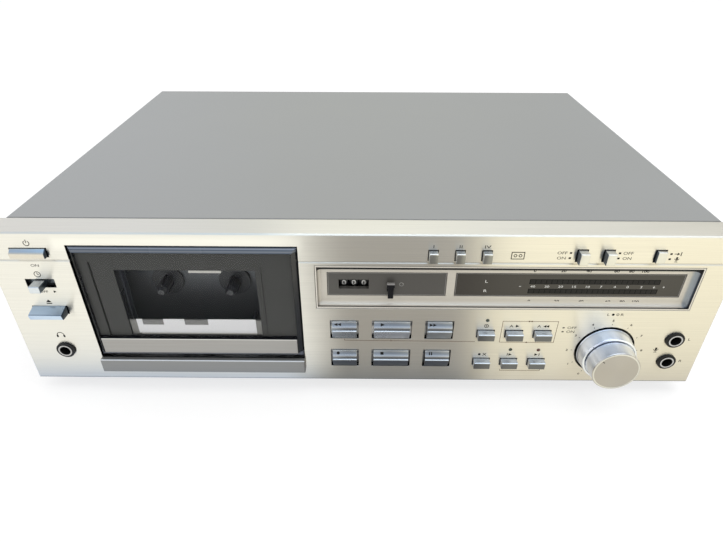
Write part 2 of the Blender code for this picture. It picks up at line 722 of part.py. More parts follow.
def foot(name, x, y, finish):
    top = PAN_BOTTOM - GAP
    shape = bmesh.new()
    start = (x, y, top)
    end = (x, y, -FOOT_HEIGHT)
    add_rod(shape, start, end, FOOT_RADIUS, FOOT_TIP_RADIUS, sides=ROUND_SIDES)
    piece(name, shape, at(*end), finish)


def feet(finish):
    left = COVER_INSET + FOOT_SIDE_INSET
    right = PANEL_WIDTH - COVER_INSET - FOOT_SIDE_INSET
    rear = REAR - FOOT_REAR_INSET
    foot("foot_front_left", left, FOOT_FRONT_INSET, finish)
    foot("foot_front_right", right, FOOT_FRONT_INSET, finish)
    foot("foot_rear_left", left, rear, finish)
    foot("foot_rear_right", right, rear, finish)


def flanged_key(name, cap, left, bottom, width, height, slack, finish, pop_out=0.0):
    """A cap through its hole, with a wider flange that stops it behind the panel once it has popped out."""
    key = piece(name, cap, at(left + width / 2, 0, bottom + height / 2), finish)
    over = slack + KEY_FLANGE
    front = KEY_BACK + pop_out
    low = (left - over, front, bottom - over)
    high = (left + width + over, front + KEY_FLANGE_THICKNESS, bottom + height + over)
    join(key, box(low, high))


def plain_keys(finish):
    """The keys with a straight cap. The power button and the input key rest latched in."""
    pop_outs = {"power_button": POWER_POP_OUT, "input_key": INPUT_POP_OUT}
    for name, left, bottom, width, height, reach, slack in box_keys():
        pop_out = pop_outs.get(name, 0.0)
        high = (left + width, KEY_BACK + pop_out + KEY_EDGE + OVERLAP, bottom + height)
        cap = box((left, -reach, bottom), high, KEY_EDGE)
        flanged_key(name, cap, left, bottom, width, height, slack, finish, pop_out)


def transport_key(name, hole_left, hole_bottom, hole_width, finish):
    """A key with a sloped label face above a ridge."""
    left = hole_left + TRANSPORT_SIDE_SLACK
    width = hole_width - 2 * TRANSPORT_SIDE_SLACK
    bottom = hole_bottom + TRANSPORT_END_SLACK
    height = KEY_HOLE_HEIGHT - 2 * TRANSPORT_END_SLACK
    top = bottom + height
    ridge = top - TRANSPORT_RIDGE_DROP
    points = [
        (KEY_BACK + OVERLAP, bottom),
        (-TRANSPORT_FOOT_REACH, bottom),
        (-TRANSPORT_REACH, ridge - TRANSPORT_RIDGE_FLAT),
        (-TRANSPORT_REACH, ridge),
        (-TRANSPORT_TOP_REACH, top),
        (KEY_BACK + OVERLAP, top),
    ]
    cap = outline(points, left, left + width)
    flanged_key(name, cap, left, bottom, width, height, TRANSPORT_END_SLACK, finish)


def transport_keys(finish):
    upper = ("rewind_key", "play_key", "fast_forward_key")
    lower = ("record_key", "stop_key", "pause_key")
    for bottom, names in ((UPPER_ROW_BOTTOM, upper), (KEY_ROW_BOTTOM, lower)):
        for name, (left, width) in zip(names, transport_columns()):
            transport_key(name, left, bottom, width, finish)


def timer_lever(finish):
    """A finger tab on a slide that always covers its slot."""
    middle = TIMER_SLOT_BOTTOM + TIMER_SLOT_HEIGHT / 2
    half = TIMER_LEVER_WIDTH / 2
    half_height = TIMER_LEVER_HEIGHT / 2
    low = (LEFT_COLUMN - half, -TIMER_REACH, middle - half_height)
    high = (LEFT_COLUMN + half, KEY_BACK + KEY_EDGE + OVERLAP, middle + half_height)
    lever = piece("timer_lever", box(low, high, KEY_EDGE), at(LEFT_COLUMN, 0, middle), finish)
    reach = TIMER_SLOT_WIDTH / 2 + TIMER_TRAVEL + TIMER_SLIDE_COVER
    reach_up = TIMER_SLOT_HEIGHT / 2 + KEY_FLANGE
    low = (LEFT_COLUMN - reach, KEY_BACK, middle - reach_up)
    high = (LEFT_COLUMN + reach, KEY_BACK + KEY_FLANGE_THICKNESS, middle + reach_up)
    join(lever, box(low, high))


def jack(name, x, z, finish):
    """A jack held by a nut in front of the panel and a body behind it, with a bore for a plug."""
    end = -(KEY_BACK + JACK_BODY_DEPTH)
    profile = [
        (0, end + JACK_END_WALL),
        (JACK_BORE_RADIUS, end + JACK_END_WALL),
        (JACK_BORE_RADIUS, JACK_TUBE_REACH),
        (JACK_TUBE_RADIUS, JACK_TUBE_REACH),
        (JACK_TUBE_RADIUS, JACK_NUT_REACH),
        (JACK_NUT_RADIUS, JACK_NUT_REACH),
        (JACK_NUT_RADIUS, GAP),
        (JACK_NECK_RADIUS, GAP),
        (JACK_NECK_RADIUS, -KEY_BACK),
        (JACK_BODY_RADIUS, -KEY_BACK),
        (JACK_BODY_RADIUS, end),
        (0, end),
    ]
    piece(name, turned(profile, (x, 0, z), sides=HOLE_SIDES), at(x, 0, z), finish)


def jacks(finish):
    for name, (x, z) in zip(("phones_jack", "mic_jack_left", "mic_jack_right"), jack_places()):
        jack(name, x, z, finish)


def plate_places():
    """Left edges and widths of the counter plate and the meter plate."""
    left = DISPLAY_LEFT + PLATE_SIDE_MARGIN
    meter = left + COUNTER_PLATE_WIDTH + PLATE_GAP
    return (left, COUNTER_PLATE_WIDTH), (meter, DISPLAY_RIGHT - PLATE_SIDE_MARGIN - meter)


def plate_rows():
    return DISPLAY_BOTTOM + PLATE_END_MARGIN, DISPLAY_TOP - PLATE_END_MARGIN


def display_bezel(finish):
    """A shallow tray set through the panel, with a window for each plate."""
    low = (DISPLAY_LEFT - BEZEL_RIM, 0, DISPLAY_BOTTOM - BEZEL_RIM)
    floor_back = DISPLAY_DEPTH + BEZEL_FLOOR
    high = (DISPLAY_RIGHT + BEZEL_RIM, floor_back, DISPLAY_TOP + BEZEL_RIM)
    middle = at((DISPLAY_LEFT + DISPLAY_RIGHT) / 2, 0, (DISPLAY_BOTTOM + DISPLAY_TOP) / 2)
    bezel = piece("display_bezel", box(low, high), middle, finish)
    over = BEZEL_RIM + BEZEL_FLANGE
    low = (DISPLAY_LEFT - over, KEY_BACK, DISPLAY_BOTTOM - over)
    high = (DISPLAY_RIGHT + over, floor_back - OVERLAP, DISPLAY_TOP + over)
    join(bezel, box(low, high))
    low = (DISPLAY_LEFT, -OVERRUN, DISPLAY_BOTTOM)
    high = (DISPLAY_RIGHT, DISPLAY_DEPTH, DISPLAY_TOP)
    recess = box(low, high)
    floor = back(DISPLAY_DEPTH)
    rear_edges = [
        edge for edge in recess.edges if all(abs(corner.co.y - floor) < WELD for corner in edge.verts)
    ]
    bmesh.ops.bevel(recess, geom=rear_edges, offset=DISPLAY_COVE, segments=4, profile=0.5, affect="EDGES")
    cut(bezel, recess)
    windows = bmesh.new()
    bottom, top = plate_rows()
    for left, width in plate_places():
        low = (left - GAP, DISPLAY_DEPTH - OVERRUN, bottom - GAP)
        high = (left + width + GAP, floor_back + OVERRUN, top + GAP)
        add_box(windows, low, high)
    cut(bezel, windows)


def display_plate(name, left, width, finish):
    """A plate that fills its window in the bezel, with a flange behind the bezel's floor."""
    bottom, top = plate_rows()
    front = DISPLAY_DEPTH + PLATE_SHY
    flange = DISPLAY_DEPTH + BEZEL_FLOOR + GAP
    middle = at(left + width / 2, front, (bottom + top) / 2)
    plate = piece(name, box((left, front, bottom), (left + width, flange + OVERLAP, top)), middle, finish)
    over = PLATE_FLANGE
    low = (left - over, flange, bottom - over)
    high = (left + width + over, flange + PLATE_THICKNESS, top + over)
    join(plate, box(low, high))
    return plate


def counter_housing(finish):
    """The counter's plate, with a box behind it that carries the number wheels on an axle."""
    left, width = plate_places()[0]
    bottom, _ = plate_rows()
    plate = display_plate("counter_housing", left, width, finish)
    plate_back = DISPLAY_DEPTH + BEZEL_FLOOR + GAP + PLATE_THICKNESS
    window_left = left + COUNTER_WINDOW_LEFT
    window_right = window_left + COUNTER_WINDOW_WIDTH
    wall = COUNTER_WALL
    half = WHEEL_RADIUS + GAP + wall
    axle_y, axle_z = counter_axle()
    low = (window_left - wall, plate_back - OVERLAP, axle_z - half)
    high = (window_right + wall, axle_y + half, axle_z + half)
    join(plate, box(low, high))
    low = (window_left, plate_back - OVERLAP, axle_z - half + wall)
    high = (window_right, axle_y + half + OVERRUN, axle_z + half - wall)
    cut(plate, box(low, high))
    low = (window_left, DISPLAY_DEPTH - OVERRUN, bottom + COUNTER_WINDOW_BOTTOM)
    high = (window_right, axle_y, bottom + COUNTER_WINDOW_BOTTOM + COUNTER_WINDOW_HEIGHT)
    cut(plate, box(low, high))
    start = (window_left - wall / 2, axle_y, axle_z)
    end = (window_right + wall / 2, axle_y, axle_z)
    join(plate, rod(start, end, AXLE_RADIUS))
    slot = reset_place()
    slot_low, slot_high = reset_slot_heights()
    low = (slot - RESET_WIDTH / 2 - GAP, DISPLAY_DEPTH - OVERRUN, slot_low)
    high = (slot + RESET_WIDTH / 2 + GAP, plate_back + OVERRUN, slot_high)
    cut(plate, box(low, high))


def counter_axle():
    """Distance back and height of the number wheels' axle."""
    bottom, _ = plate_rows()
    plate_back = DISPLAY_DEPTH + BEZEL_FLOOR + GAP + PLATE_THICKNESS
    return plate_back + GAP + WHEEL_RADIUS, bottom + COUNTER_WINDOW_BOTTOM + COUNTER_WINDOW_HEIGHT / 2


def counter_wheels(finish):
    left, _ = plate_places()[0]
    axle_y, axle_z = counter_axle()
    middle = left + COUNTER_WINDOW_LEFT + COUNTER_WINDOW_WIDTH / 2
    for i, name in enumerate(("counter_wheel_hundreds", "counter_wheel_tens", "counter_wheel_units")):
        x = middle + (i - 1) * WHEEL_PITCH
        start = (x - WHEEL_WIDTH / 2, axle_y, axle_z)
        end = (x + WHEEL_WIDTH / 2, axle_y, axle_z)
        wheel = piece(name, rod(start, end, WHEEL_RADIUS, sides=ROUND_SIDES), at(x, axle_y, axle_z), finish)
        start = (x - WHEEL_WIDTH, axle_y, axle_z)
        end = (x + WHEEL_WIDTH, axle_y, axle_z)
        cut(wheel, rod(start, end, WHEEL_BORE))


def reset_place():
    return plate_places()[0][0] + RESET_OFFSET


def reset_slot_heights():
    bottom, _ = plate_rows()
    low, high = RESET_STEM_SHARES
    return bottom + low * RESET_HEIGHT, bottom + high * RESET_HEIGHT


def counter_reset_lever(finish):
    """A tall tab in front of the counter plate, on a stem through the plate's slot."""
    bottom, _ = plate_rows()
    x = reset_place()
    face = DISPLAY_DEPTH + PLATE_SHY
    low_z = bottom + RESET_BOTTOM
    top_z = low_z + RESET_HEIGHT
    half = RESET_WIDTH / 2
    rest = face - GAP - RESET_TRAVEL
    low = (x - half, face - RESET_REACH, low_z)
    lever = piece("counter_reset_lever", box(low, (x + half, rest, top_z), GAP), at(x, face, low_z), finish)
    half_cap = RESET_CAP_WIDTH / 2
    low = (x - half_cap, face - RESET_REACH - GAP, top_z - RESET_CAP_HEIGHT)
    join(lever, box(low, (x + half_cap, rest - GAP, top_z + GAP)))
    plate_back = DISPLAY_DEPTH + BEZEL_FLOOR + GAP + PLATE_THICKNESS
    slot_low, slot_high = reset_slot_heights()
    stem_low = slot_low + GAP
    stem_high = slot_high - GAP
    low = (x - half, rest - OVERLAP, stem_low)
    join(lever, box(low, (x + half - GAP, plate_back + GAP + OVERLAP, stem_high)))
    low = (x - half_cap, plate_back + GAP, stem_low)
    join(lever, box(low, (x + half_cap, plate_back + GAP + COUNTER_WALL, stem_high)))


def meter_module(finish):
    left, width = plate_places()[1]
    bottom, top = plate_rows()
    module = display_plate("meter_module", left, width, finish)
    plate_back = DISPLAY_DEPTH + BEZEL_FLOOR + GAP + PLATE_THICKNESS
    low = (left + METER_BODY_SHY, plate_back - OVERLAP, bottom)
    high = (left + width - METER_BODY_SHY, plate_back + METER_BODY_DEPTH, top)
    join(module, box(low, high))


def level_knobs(finish):
    """The outer ring drives one channel, and the knob on a shaft through it drives the other."""
    centre = (KNOB_X, 0, KNOB_HEIGHT)
    bore = KNOB_SHAFT_RADIUS + GAP
    seat = -(KEY_BACK - GAP)
    ring = [
        (bore, seat),
        (bore, RING_REACH),
        (RING_FRONT_RADIUS, RING_REACH),
        (RING_BACK_RADIUS, -RING_SINK),
        (RING_BACK_RADIUS - RING_WALL, -RING_SINK),
        (RING_FRONT_RADIUS - RING_WALL, RING_REACH - RING_WEB),
        (RING_HUB_RADIUS, RING_REACH - RING_WEB),
        (RING_HUB_RADIUS, seat),
    ]
    piece("left_level_knob", turned(ring, centre, closed=True), at(*centre), finish)
    start = RING_REACH + GAP
    knob = [
        (0, KNOB_REACH),
        (KNOB_FRONT_RADIUS - KNOB_CHAMFER, KNOB_REACH),
        (KNOB_FRONT_RADIUS, KNOB_REACH - KNOB_CHAMFER),
        (KNOB_BACK_RADIUS, start),
        (KNOB_SHAFT_RADIUS, start),
        (KNOB_SHAFT_RADIUS, seat),
        (0, seat),
    ]
    piece("right_level_knob", turned(knob, centre), at(*centre), finish)


def level_potentiometer(finish):
    half = KNOB_HOLE_RADIUS + POT_PLATE_MARGIN
    low = (KNOB_X - half, KEY_BACK, KNOB_HEIGHT - half)
    plate_back = KEY_BACK + POT_PLATE_THICKNESS
    high = (KNOB_X + half, plate_back, KNOB_HEIGHT + half)
    pot = piece("level_potentiometer", box(low, high), at(KNOB_X, KEY_BACK, KNOB_HEIGHT), finish)
    half = POT_BODY_WIDTH / 2
    low = (KNOB_X - half, plate_back - OVERLAP, KNOB_HEIGHT - half)
    join(pot, box(low, (KNOB_X + half, plate_back + POT_BODY_DEPTH, KNOB_HEIGHT + half)))


def cassette_door(hinge, black, glass, trim_finish, carrier_finish):
    """Frame, window, trim strip and carrier, which swing together on pins at the bottom of the frame."""
    front = -DOOR_REACH
    bevel_back = front + DOOR_BEVEL
    middle = at(DOOR_MIDDLE, HINGE_BEHIND, HINGE_HEIGHT)
    low = (DOOR_LEFT, bevel_back - DOOR_BEVEL, DOOR_BOTTOM)
    slab = box(low, (DOOR_RIGHT, DOOR_BACK, DOOR_TOP))
    face = back(front)
    edges = [edge for edge in slab.edges if all(abs(corner.co.y - face) < WELD for corner in edge.verts)]
    bmesh.ops.bevel(slab, geom=edges, offset=DOOR_BEVEL, segments=1, affect="EDGES")
    frame = piece("door_frame", slab, middle, black, hinge)
    left = DOOR_LEFT + DOOR_BEVEL
    right = DOOR_RIGHT - DOOR_BEVEL
    top = DOOR_TOP - DOOR_BEVEL
    pocket_back = front + FACE_POCKET_DEPTH
    low = (left, front - OVERRUN, TRIM_BOTTOM - GAP)
    cut(frame, box(low, (right, pocket_back, top)))
    low = (VIEW_LEFT, front - OVERRUN, WINDOW_BOTTOM)
    cut(frame, box(low, (VIEW_RIGHT, DOOR_BACK + OVERRUN, VIEW_TOP)))
    pins = bmesh.new()
    for inside, end in ((left, DOOR_LEFT - HINGE_PIN_REACH), (right, DOOR_RIGHT + HINGE_PIN_REACH)):
        start = (inside, HINGE_BEHIND, HINGE_HEIGHT)
        add_rod(pins, start, (end, HINGE_BEHIND, HINGE_HEIGHT), HINGE_PIN_RADIUS)
    join(frame, pins)
    low = (left + GAP, front, WINDOW_BOTTOM)
    high = (right - GAP, front + WINDOW_THICKNESS, top - GAP)
    piece("door_window", box(low, high), middle, glass, hinge)
    low = (left + GAP, front, TRIM_BOTTOM)
    high = (right - GAP, front + WINDOW_THICKNESS, TRIM_BOTTOM + TRIM_HEIGHT)
    piece("door_trim", box(low, high), middle, trim_finish, hinge)
    cassette_carrier(hinge, middle, carrier_finish)


def cassette_carrier(hinge, middle, finish):
    """Two upright channels that hold the cassette by its ends, with a ledge under each end."""
    left = POCKET_LEFT - CARRIER_SIDE_WALL
    right = POCKET_RIGHT + CARRIER_SIDE_WALL
    low = (left, CARRIER_FRONT, CARRIER_BOTTOM)
    carrier = piece("cassette_carrier", box(low, (right, CARRIER_BACK, CARRIER_TOP)), middle, finish, hinge)
    above = CARRIER_TOP + OVERRUN
    low = (POCKET_LEFT, POCKET_FRONT, CASSETTE_BOTTOM)
    cut(carrier, box(low, (POCKET_RIGHT, POCKET_BACK, above)))
    low = (VIEW_LEFT, CARRIER_FRONT - OVERRUN, WINDOW_BOTTOM)
    cut(carrier, box(low, (VIEW_RIGHT, POCKET_FRONT + OVERRUN, above)))
    low = (POCKET_LEFT + CARRIER_LIP, POCKET_FRONT + OVERRUN, CASSETTE_BOTTOM)
    cut(carrier, box(low, (POCKET_RIGHT - CARRIER_LIP, CARRIER_BACK + OVERRUN, above)))
    low = (POCKET_LEFT + CARRIER_LEDGE, POCKET_FRONT, CARRIER_BOTTOM - OVERRUN)
    cut(carrier, box(low, (POCKET_RIGHT - CARRIER_LEDGE, CARRIER_BACK + OVERRUN, CASSETTE_BOTTOM + OVERRUN)))


def spindle_places():
    half = CASSETTE_HUB_PITCH / 2
    return (DOOR_MIDDLE - half, DOOR_MIDDLE + half)


def arm_pivot():
    """X and height of the pinch arm's pivot, midway in height between the roller's two places."""
    lowered, raised = roller_heights()
    return CAPSTAN_X + ARM_REACH, (lowered + raised) / 2


def roller_heights():
    lowered = CASSETTE_BOTTOM - ROLLER_DROP - ROLLER_RADIUS
    raised = CAPSTAN_HEIGHT - CAPSTAN_RADIUS - ROLLER_RADIUS - ROLLER_NIP
    return lowered, raised


def mechanism_plate(finish):
    """The upright plate behind the cassette, with ears for the door's pins, and the bracket behind it on a
    bent top and two posts, which carries the flywheel and the motor."""
    ear_left = DOOR_LEFT - HINGE_PIN_REACH + GAP
    ear_right = DOOR_RIGHT + HINGE_PIN_REACH - GAP
    top = MECHANISM_HEIGHT
    bottom = MECHANISM_BOTTOM
    middle = at(DOOR_MIDDLE, MECHANISM_FRONT, bottom)
    low = (ear_left, MECHANISM_FRONT, bottom)
    plate = piece("mechanism_plate", box(low, (ear_right, MECHANISM_BACK, top)), middle, finish)
    bends = bmesh.new()
    high = (ear_right, MECHANISM_BACK + MECHANISM_FOOT, bottom + MECHANISM_SHEET)
    add_box(bends, low, high)
    ear_front = PANEL_WALL + GAP
    ear_bottom = HINGE_HEIGHT - MECHANISM_EAR_HEIGHT / 2
    ear_top = HINGE_HEIGHT + MECHANISM_EAR_HEIGHT / 2
    for left in (ear_left, ear_right - MECHANISM_EAR):
        low = (left, ear_front, ear_bottom)
        add_box(bends, low, (left + MECHANISM_EAR, MECHANISM_BACK, ear_top))
    bracket_left = ear_left + BRACKET_SIDE_MARGIN
    bracket_right = ear_right - BRACKET_SIDE_MARGIN
    bracket_bottom = bottom + MECHANISM_SHEET + GAP
    bracket_top = bracket_bottom + BRACKET_HEIGHT
    low = (bracket_left, BRACKET_FRONT, bracket_bottom)
    add_box(bends, low, (bracket_right, BRACKET_BACK, bracket_top))
    low = (bracket_left, MECHANISM_BACK - OVERLAP, bracket_top - PAN_SHEET)
    add_box(bends, low, (bracket_right, BRACKET_BACK, bracket_top))
    post_z = bracket_bottom + BRACKET_POST_INSET
    for x in (bracket_left + BRACKET_POST_INSET, bracket_right - BRACKET_POST_INSET):
        start = (x, MECHANISM_BACK - OVERLAP, post_z)
        add_rod(bends, start, (x, BRACKET_FRONT + OVERLAP, post_z), BRACKET_POST_RADIUS)
    join(plate, bends, crossing=True)
    holes = bmesh.new()
    for left in (ear_left, ear_right):
        start = (left - OVERRUN, HINGE_BEHIND, HINGE_HEIGHT)
        add_rod(holes, start, (left + OVERRUN, HINGE_BEHIND, HINGE_HEIGHT), HINGE_PIN_RADIUS + GAP)
    through = MECHANISM_BACK + OVERRUN
    for x in spindle_places():
        start = (x, MECHANISM_FRONT - OVERRUN, SPINDLE_HEIGHT)
        add_rod(holes, start, (x, through, SPINDLE_HEIGHT), SPINDLE_SHAFT_RADIUS + GAP)
    start = (CAPSTAN_X, MECHANISM_FRONT - OVERRUN, CAPSTAN_HEIGHT)
    end = (CAPSTAN_X, BRACKET_BACK + OVERRUN, CAPSTAN_HEIGHT)
    add_rod(holes, start, end, CAPSTAN_RADIUS + GAP)
    start = (MOTOR_X, BRACKET_FRONT - OVERRUN, MOTOR_HEIGHT)
    end = (MOTOR_X, BRACKET_BACK + OVERRUN, MOTOR_HEIGHT)
    add_rod(holes, start, end, MOTOR_SHAFT_RADIUS + GAP)
    pivot_x, pivot_z = arm_pivot()
    start = (pivot_x, MECHANISM_FRONT - OVERRUN, pivot_z)
    add_rod(holes, start, (pivot_x, through, pivot_z), ARM_PIN_RADIUS + GAP)
    cut(plate, holes)


def spindle(name, x, finish):
    """A reel table with a finned nose in front of the plate, and its shaft through the plate."""
    table = MECHANISM_FRONT - GAP - REEL_TABLE_THICKNESS
    tip = POCKET_BACK - SPINDLE_INTO_CASSETTE
    centre = (x, MECHANISM_FRONT, SPINDLE_HEIGHT)
    reach = MECHANISM_FRONT - tip
    table_reach = MECHANISM_FRONT - table
    profile = [
        (0, reach),
        (SPINDLE_TIP_RADIUS, reach),
        (SPINDLE_RADIUS, reach - SPINDLE_TIP),
        (SPINDLE_RADIUS, table_reach),
        (REEL_TABLE_RADIUS, table_reach),
        (REEL_TABLE_RADIUS, GAP),
        (SPINDLE_SHAFT_RADIUS, GAP),
        (SPINDLE_SHAFT_RADIUS, -MECHANISM_SHEET - SPINDLE_TAIL),
        (0, -MECHANISM_SHEET - SPINDLE_TAIL),
    ]
    made = piece(name, turned(profile, centre, sides=ROUND_SIDES), at(*centre), finish)
    fins = bmesh.new()
    half = SPINDLE_FIN_WIDTH / 2
    fin_front = tip + SPINDLE_TIP
    for i in range(3):
        fin = bmesh.new()
        low = (x - half, fin_front, SPINDLE_HEIGHT)
        add_box(fin, low, (x + half, table + OVERLAP, SPINDLE_HEIGHT + SPINDLE_RADIUS + SPINDLE_FIN))
        turn = Matrix.Rotation(i * math.tau / 3, 4, "Y")
        pivot = at(*centre)
        bmesh.ops.transform(
            fin, matrix=Matrix.Translation(pivot) @ turn @ Matrix.Translation(-pivot), verts=fin.verts
        )
        mesh = bpy.data.meshes.new("fin")
        fin.to_mesh(mesh)
        fins.from_mesh(mesh)
        fin.free()
        bpy.data.meshes.remove(mesh)
    join(made, fins, crossing=True)


def capstan(finish):
    """The flywheel between the plate and its bracket, with the capstan shaft through both."""
    centre = (CAPSTAN_X, MECHANISM_BACK, CAPSTAN_HEIGHT)
    front = MECHANISM_BACK - (POCKET_BACK - CAPSTAN_INTO_CASSETTE)
    wheel_front = -FLYWHEEL_BEHIND
    wheel_back = wheel_front - FLYWHEEL_WIDTH
    tail = -BRACKET_BEHIND - PAN_SHEET - FLYWHEEL_TAIL
    profile = [
        (0, front),
        (CAPSTAN_RADIUS, front),
        (CAPSTAN_RADIUS, wheel_front),
        (FLYWHEEL_RADIUS, wheel_front),
        (FLYWHEEL_RADIUS, wheel_back),
        (CAPSTAN_RADIUS, wheel_back),
        (CAPSTAN_RADIUS, tail),
        (0, tail),
    ]
    piece("capstan_flywheel", turned(profile, centre), at(*centre), finish)


def motor(finish, pulley_finish):
    """The motor behind the bracket, its shaft through it, and the pulley on the shaft."""
    start = BRACKET_BACK + GAP
    end = (MOTOR_X, start + MOTOR_DEPTH, MOTOR_HEIGHT)
    can = rod((MOTOR_X, start, MOTOR_HEIGHT), end, MOTOR_RADIUS, sides=ROUND_SIDES)
    made = piece("capstan_motor", can, at(MOTOR_X, start, MOTOR_HEIGHT), finish)
    shaft_start = (MOTOR_X, PULLEY_FRONT, MOTOR_HEIGHT)
    join(made, rod(shaft_start, (MOTOR_X, start + OVERLAP, MOTOR_HEIGHT), MOTOR_SHAFT_RADIUS))
    centre = (MOTOR_X, PULLEY_FRONT, MOTOR_HEIGHT)
    pulley = [
        (PULLEY_BORE, -PULLEY_WIDTH),
        (PULLEY_BORE, 0),
        (PULLEY_RADIUS, 0),
        (PULLEY_RADIUS, -PULLEY_WIDTH),
    ]
    piece("motor_pulley", turned(pulley, centre, closed=True), at(*centre), pulley_finish)


def drive_belt(finish):
    """A round belt along the tangents of the flywheel and the pulley."""
    dx = CAPSTAN_X - MOTOR_X
    dz = CAPSTAN_HEIGHT - MOTOR_HEIGHT
    around_wheel = FLYWHEEL_RADIUS + GAP + BELT_RADIUS
    around_pulley = PULLEY_RADIUS + GAP + BELT_RADIUS
    lean = math.atan2(dz, dx)
    spread = math.acos((around_wheel - around_pulley) / math.hypot(dx, dz))
    y = MECHANISM_BACK + FLYWHEEL_BEHIND + FLYWHEEL_WIDTH / 2
    points = []
    for x, z, radius, start, end in (
        (CAPSTAN_X, CAPSTAN_HEIGHT, around_wheel, lean - math.pi + spread, lean + math.pi - spread),
        (MOTOR_X, MOTOR_HEIGHT, around_pulley, lean + math.pi - spread, lean + math.pi + spread),
    ):
        for i in range(BELT_ARC_POINTS):
            angle = start + (end - start) * i / (BELT_ARC_POINTS - 1)
            points.append(at(x + radius * math.cos(angle), y, z + radius * math.sin(angle)))
    curve = bpy.data.curves.new("belt", "CURVE")
    curve.dimensions = "3D"
    curve.bevel_depth = BELT_RADIUS
    curve.bevel_resolution = 1
    spline = curve.splines.new("POLY")
    spline.points.add(len(points) - 1)
    for point, place in zip(spline.points, points):
        point.co = (*place, 1)
    spline.use_cyclic_u = True
    shape = shape_of(bpy.data.objects.new("belt", curve))
    bmesh.ops.recalc_face_normals(shape, faces=shape.faces)
    piece("drive_belt", shape, at(MOTOR_X, y, MOTOR_HEIGHT), finish)


def head_bridge(finish):
    """A sliding plate in front of the mechanism plate, with the two heads on it."""
    top = CASSETTE_BOTTOM - BRIDGE_HEAD_DROP
    plate_back = MECHANISM_FRONT - GAP
    plate_front = plate_back - BRIDGE_THICKNESS
    half = BRIDGE_WIDTH / 2
    low = (DOOR_MIDDLE - half, plate_front, top - BRIDGE_HEIGHT)
    middle = at(DOOR_MIDDLE, plate_front, top - BRIDGE_HEIGHT)
    bridge = piece("head_bridge", box(low, (DOOR_MIDDLE + half, plate_back, top)), middle, finish)
    heads = bmesh.new()
    for x, width in ((DOOR_MIDDLE, HEAD_WIDTH), (DOOR_MIDDLE - ERASE_HEAD_OFFSET, ERASE_HEAD_WIDTH)):
        low = (x - width / 2, plate_front - HEAD_DEPTH, top - HEAD_HEIGHT)
        add_box(heads, low, (x + width / 2, plate_front + OVERLAP, top - GAP))
    join(bridge, heads)


def pinch_arm(arm_finish, roller_finish):
    """The arm turns on a pin in the mechanism plate and carries the rubber roller under the capstan."""
    lowered, _ = roller_heights()
    pivot_x, pivot_z = arm_pivot()
    arm_back = MECHANISM_FRONT - GAP
    arm_front = arm_back - BRIDGE_THICKNESS
    roller_x = CAPSTAN_X
    along = Vector((roller_x - pivot_x, 0, lowered - pivot_z))
    length = along.length
    bar = bmesh.new()
    low = (pivot_x - length - ARM_HALF_WIDTH, arm_front, pivot_z - ARM_HALF_WIDTH)
    add_box(bar, low, (pivot_x + ARM_HALF_WIDTH, arm_back, pivot_z + ARM_HALF_WIDTH))
    lean = math.atan2(lowered - pivot_z, roller_x - pivot_x) - math.pi
    pivot = at(pivot_x, arm_back, pivot_z)
    turn = Matrix.Translation(pivot) @ Matrix.Rotation(-lean, 4, "Y") @ Matrix.Translation(-pivot)
    bmesh.ops.transform(bar, matrix=turn, verts=bar.verts)
    arm = piece("pinch_arm", bar, pivot, arm_finish)
    roller_back = arm_front - GAP
    roller_front = roller_back - ROLLER_WIDTH
    pins = bmesh.new()
    start = (pivot_x, arm_back - OVERLAP, pivot_z)
    add_rod(pins, start, (pivot_x, MECHANISM_BACK + GAP, pivot_z), ARM_PIN_RADIUS)
    start = (roller_x, roller_front - GAP, lowered)
    add_rod(pins, start, (roller_x, arm_front + OVERLAP, lowered), ROLLER_PIN_RADIUS)
    join(arm, pins)
    centre = (roller_x, roller_front, lowered)
    profile = [
        (ROLLER_BORE, -ROLLER_WIDTH),
        (ROLLER_BORE, 0),
        (ROLLER_RADIUS, 0),
        (ROLLER_RADIUS, -ROLLER_WIDTH),
    ]
    piece("pinch_roller", turned(profile, centre, closed=True), at(*centre), roller_finish)


def power_transformer(finish):
    floor = PAN_TOP + GAP
    rear = REAR_WALL_FRONT - TRANSFORMER_FROM_REAR
    left = COVER_INSET + TRANSFORMER_INSET
    middle_y = rear - TRANSFORMER_DEPTH / 2
    middle_x = left + TRANSFORMER_WIDTH / 2
    middle_z = floor + TRANSFORMER_HEIGHT / 2
    half = TRANSFORMER_CORE_DEPTH / 2
    low = (left, middle_y - half, floor)
    high = (left + TRANSFORMER_WIDTH, middle_y + half, floor + TRANSFORMER_HEIGHT)
    core = piece("power_transformer", box(low, high), at(middle_x, middle_y, floor), finish)
    half_width = TRANSFORMER_COIL_WIDTH / 2
    half_height = TRANSFORMER_COIL_HEIGHT / 2
    half = TRANSFORMER_DEPTH / 2
    low = (middle_x - half_width, middle_y - half, middle_z - half_height)
    high = (middle_x + half_width, middle_y + half, middle_z + half_height)
    join(core, box(low, high, KEY_EDGE))


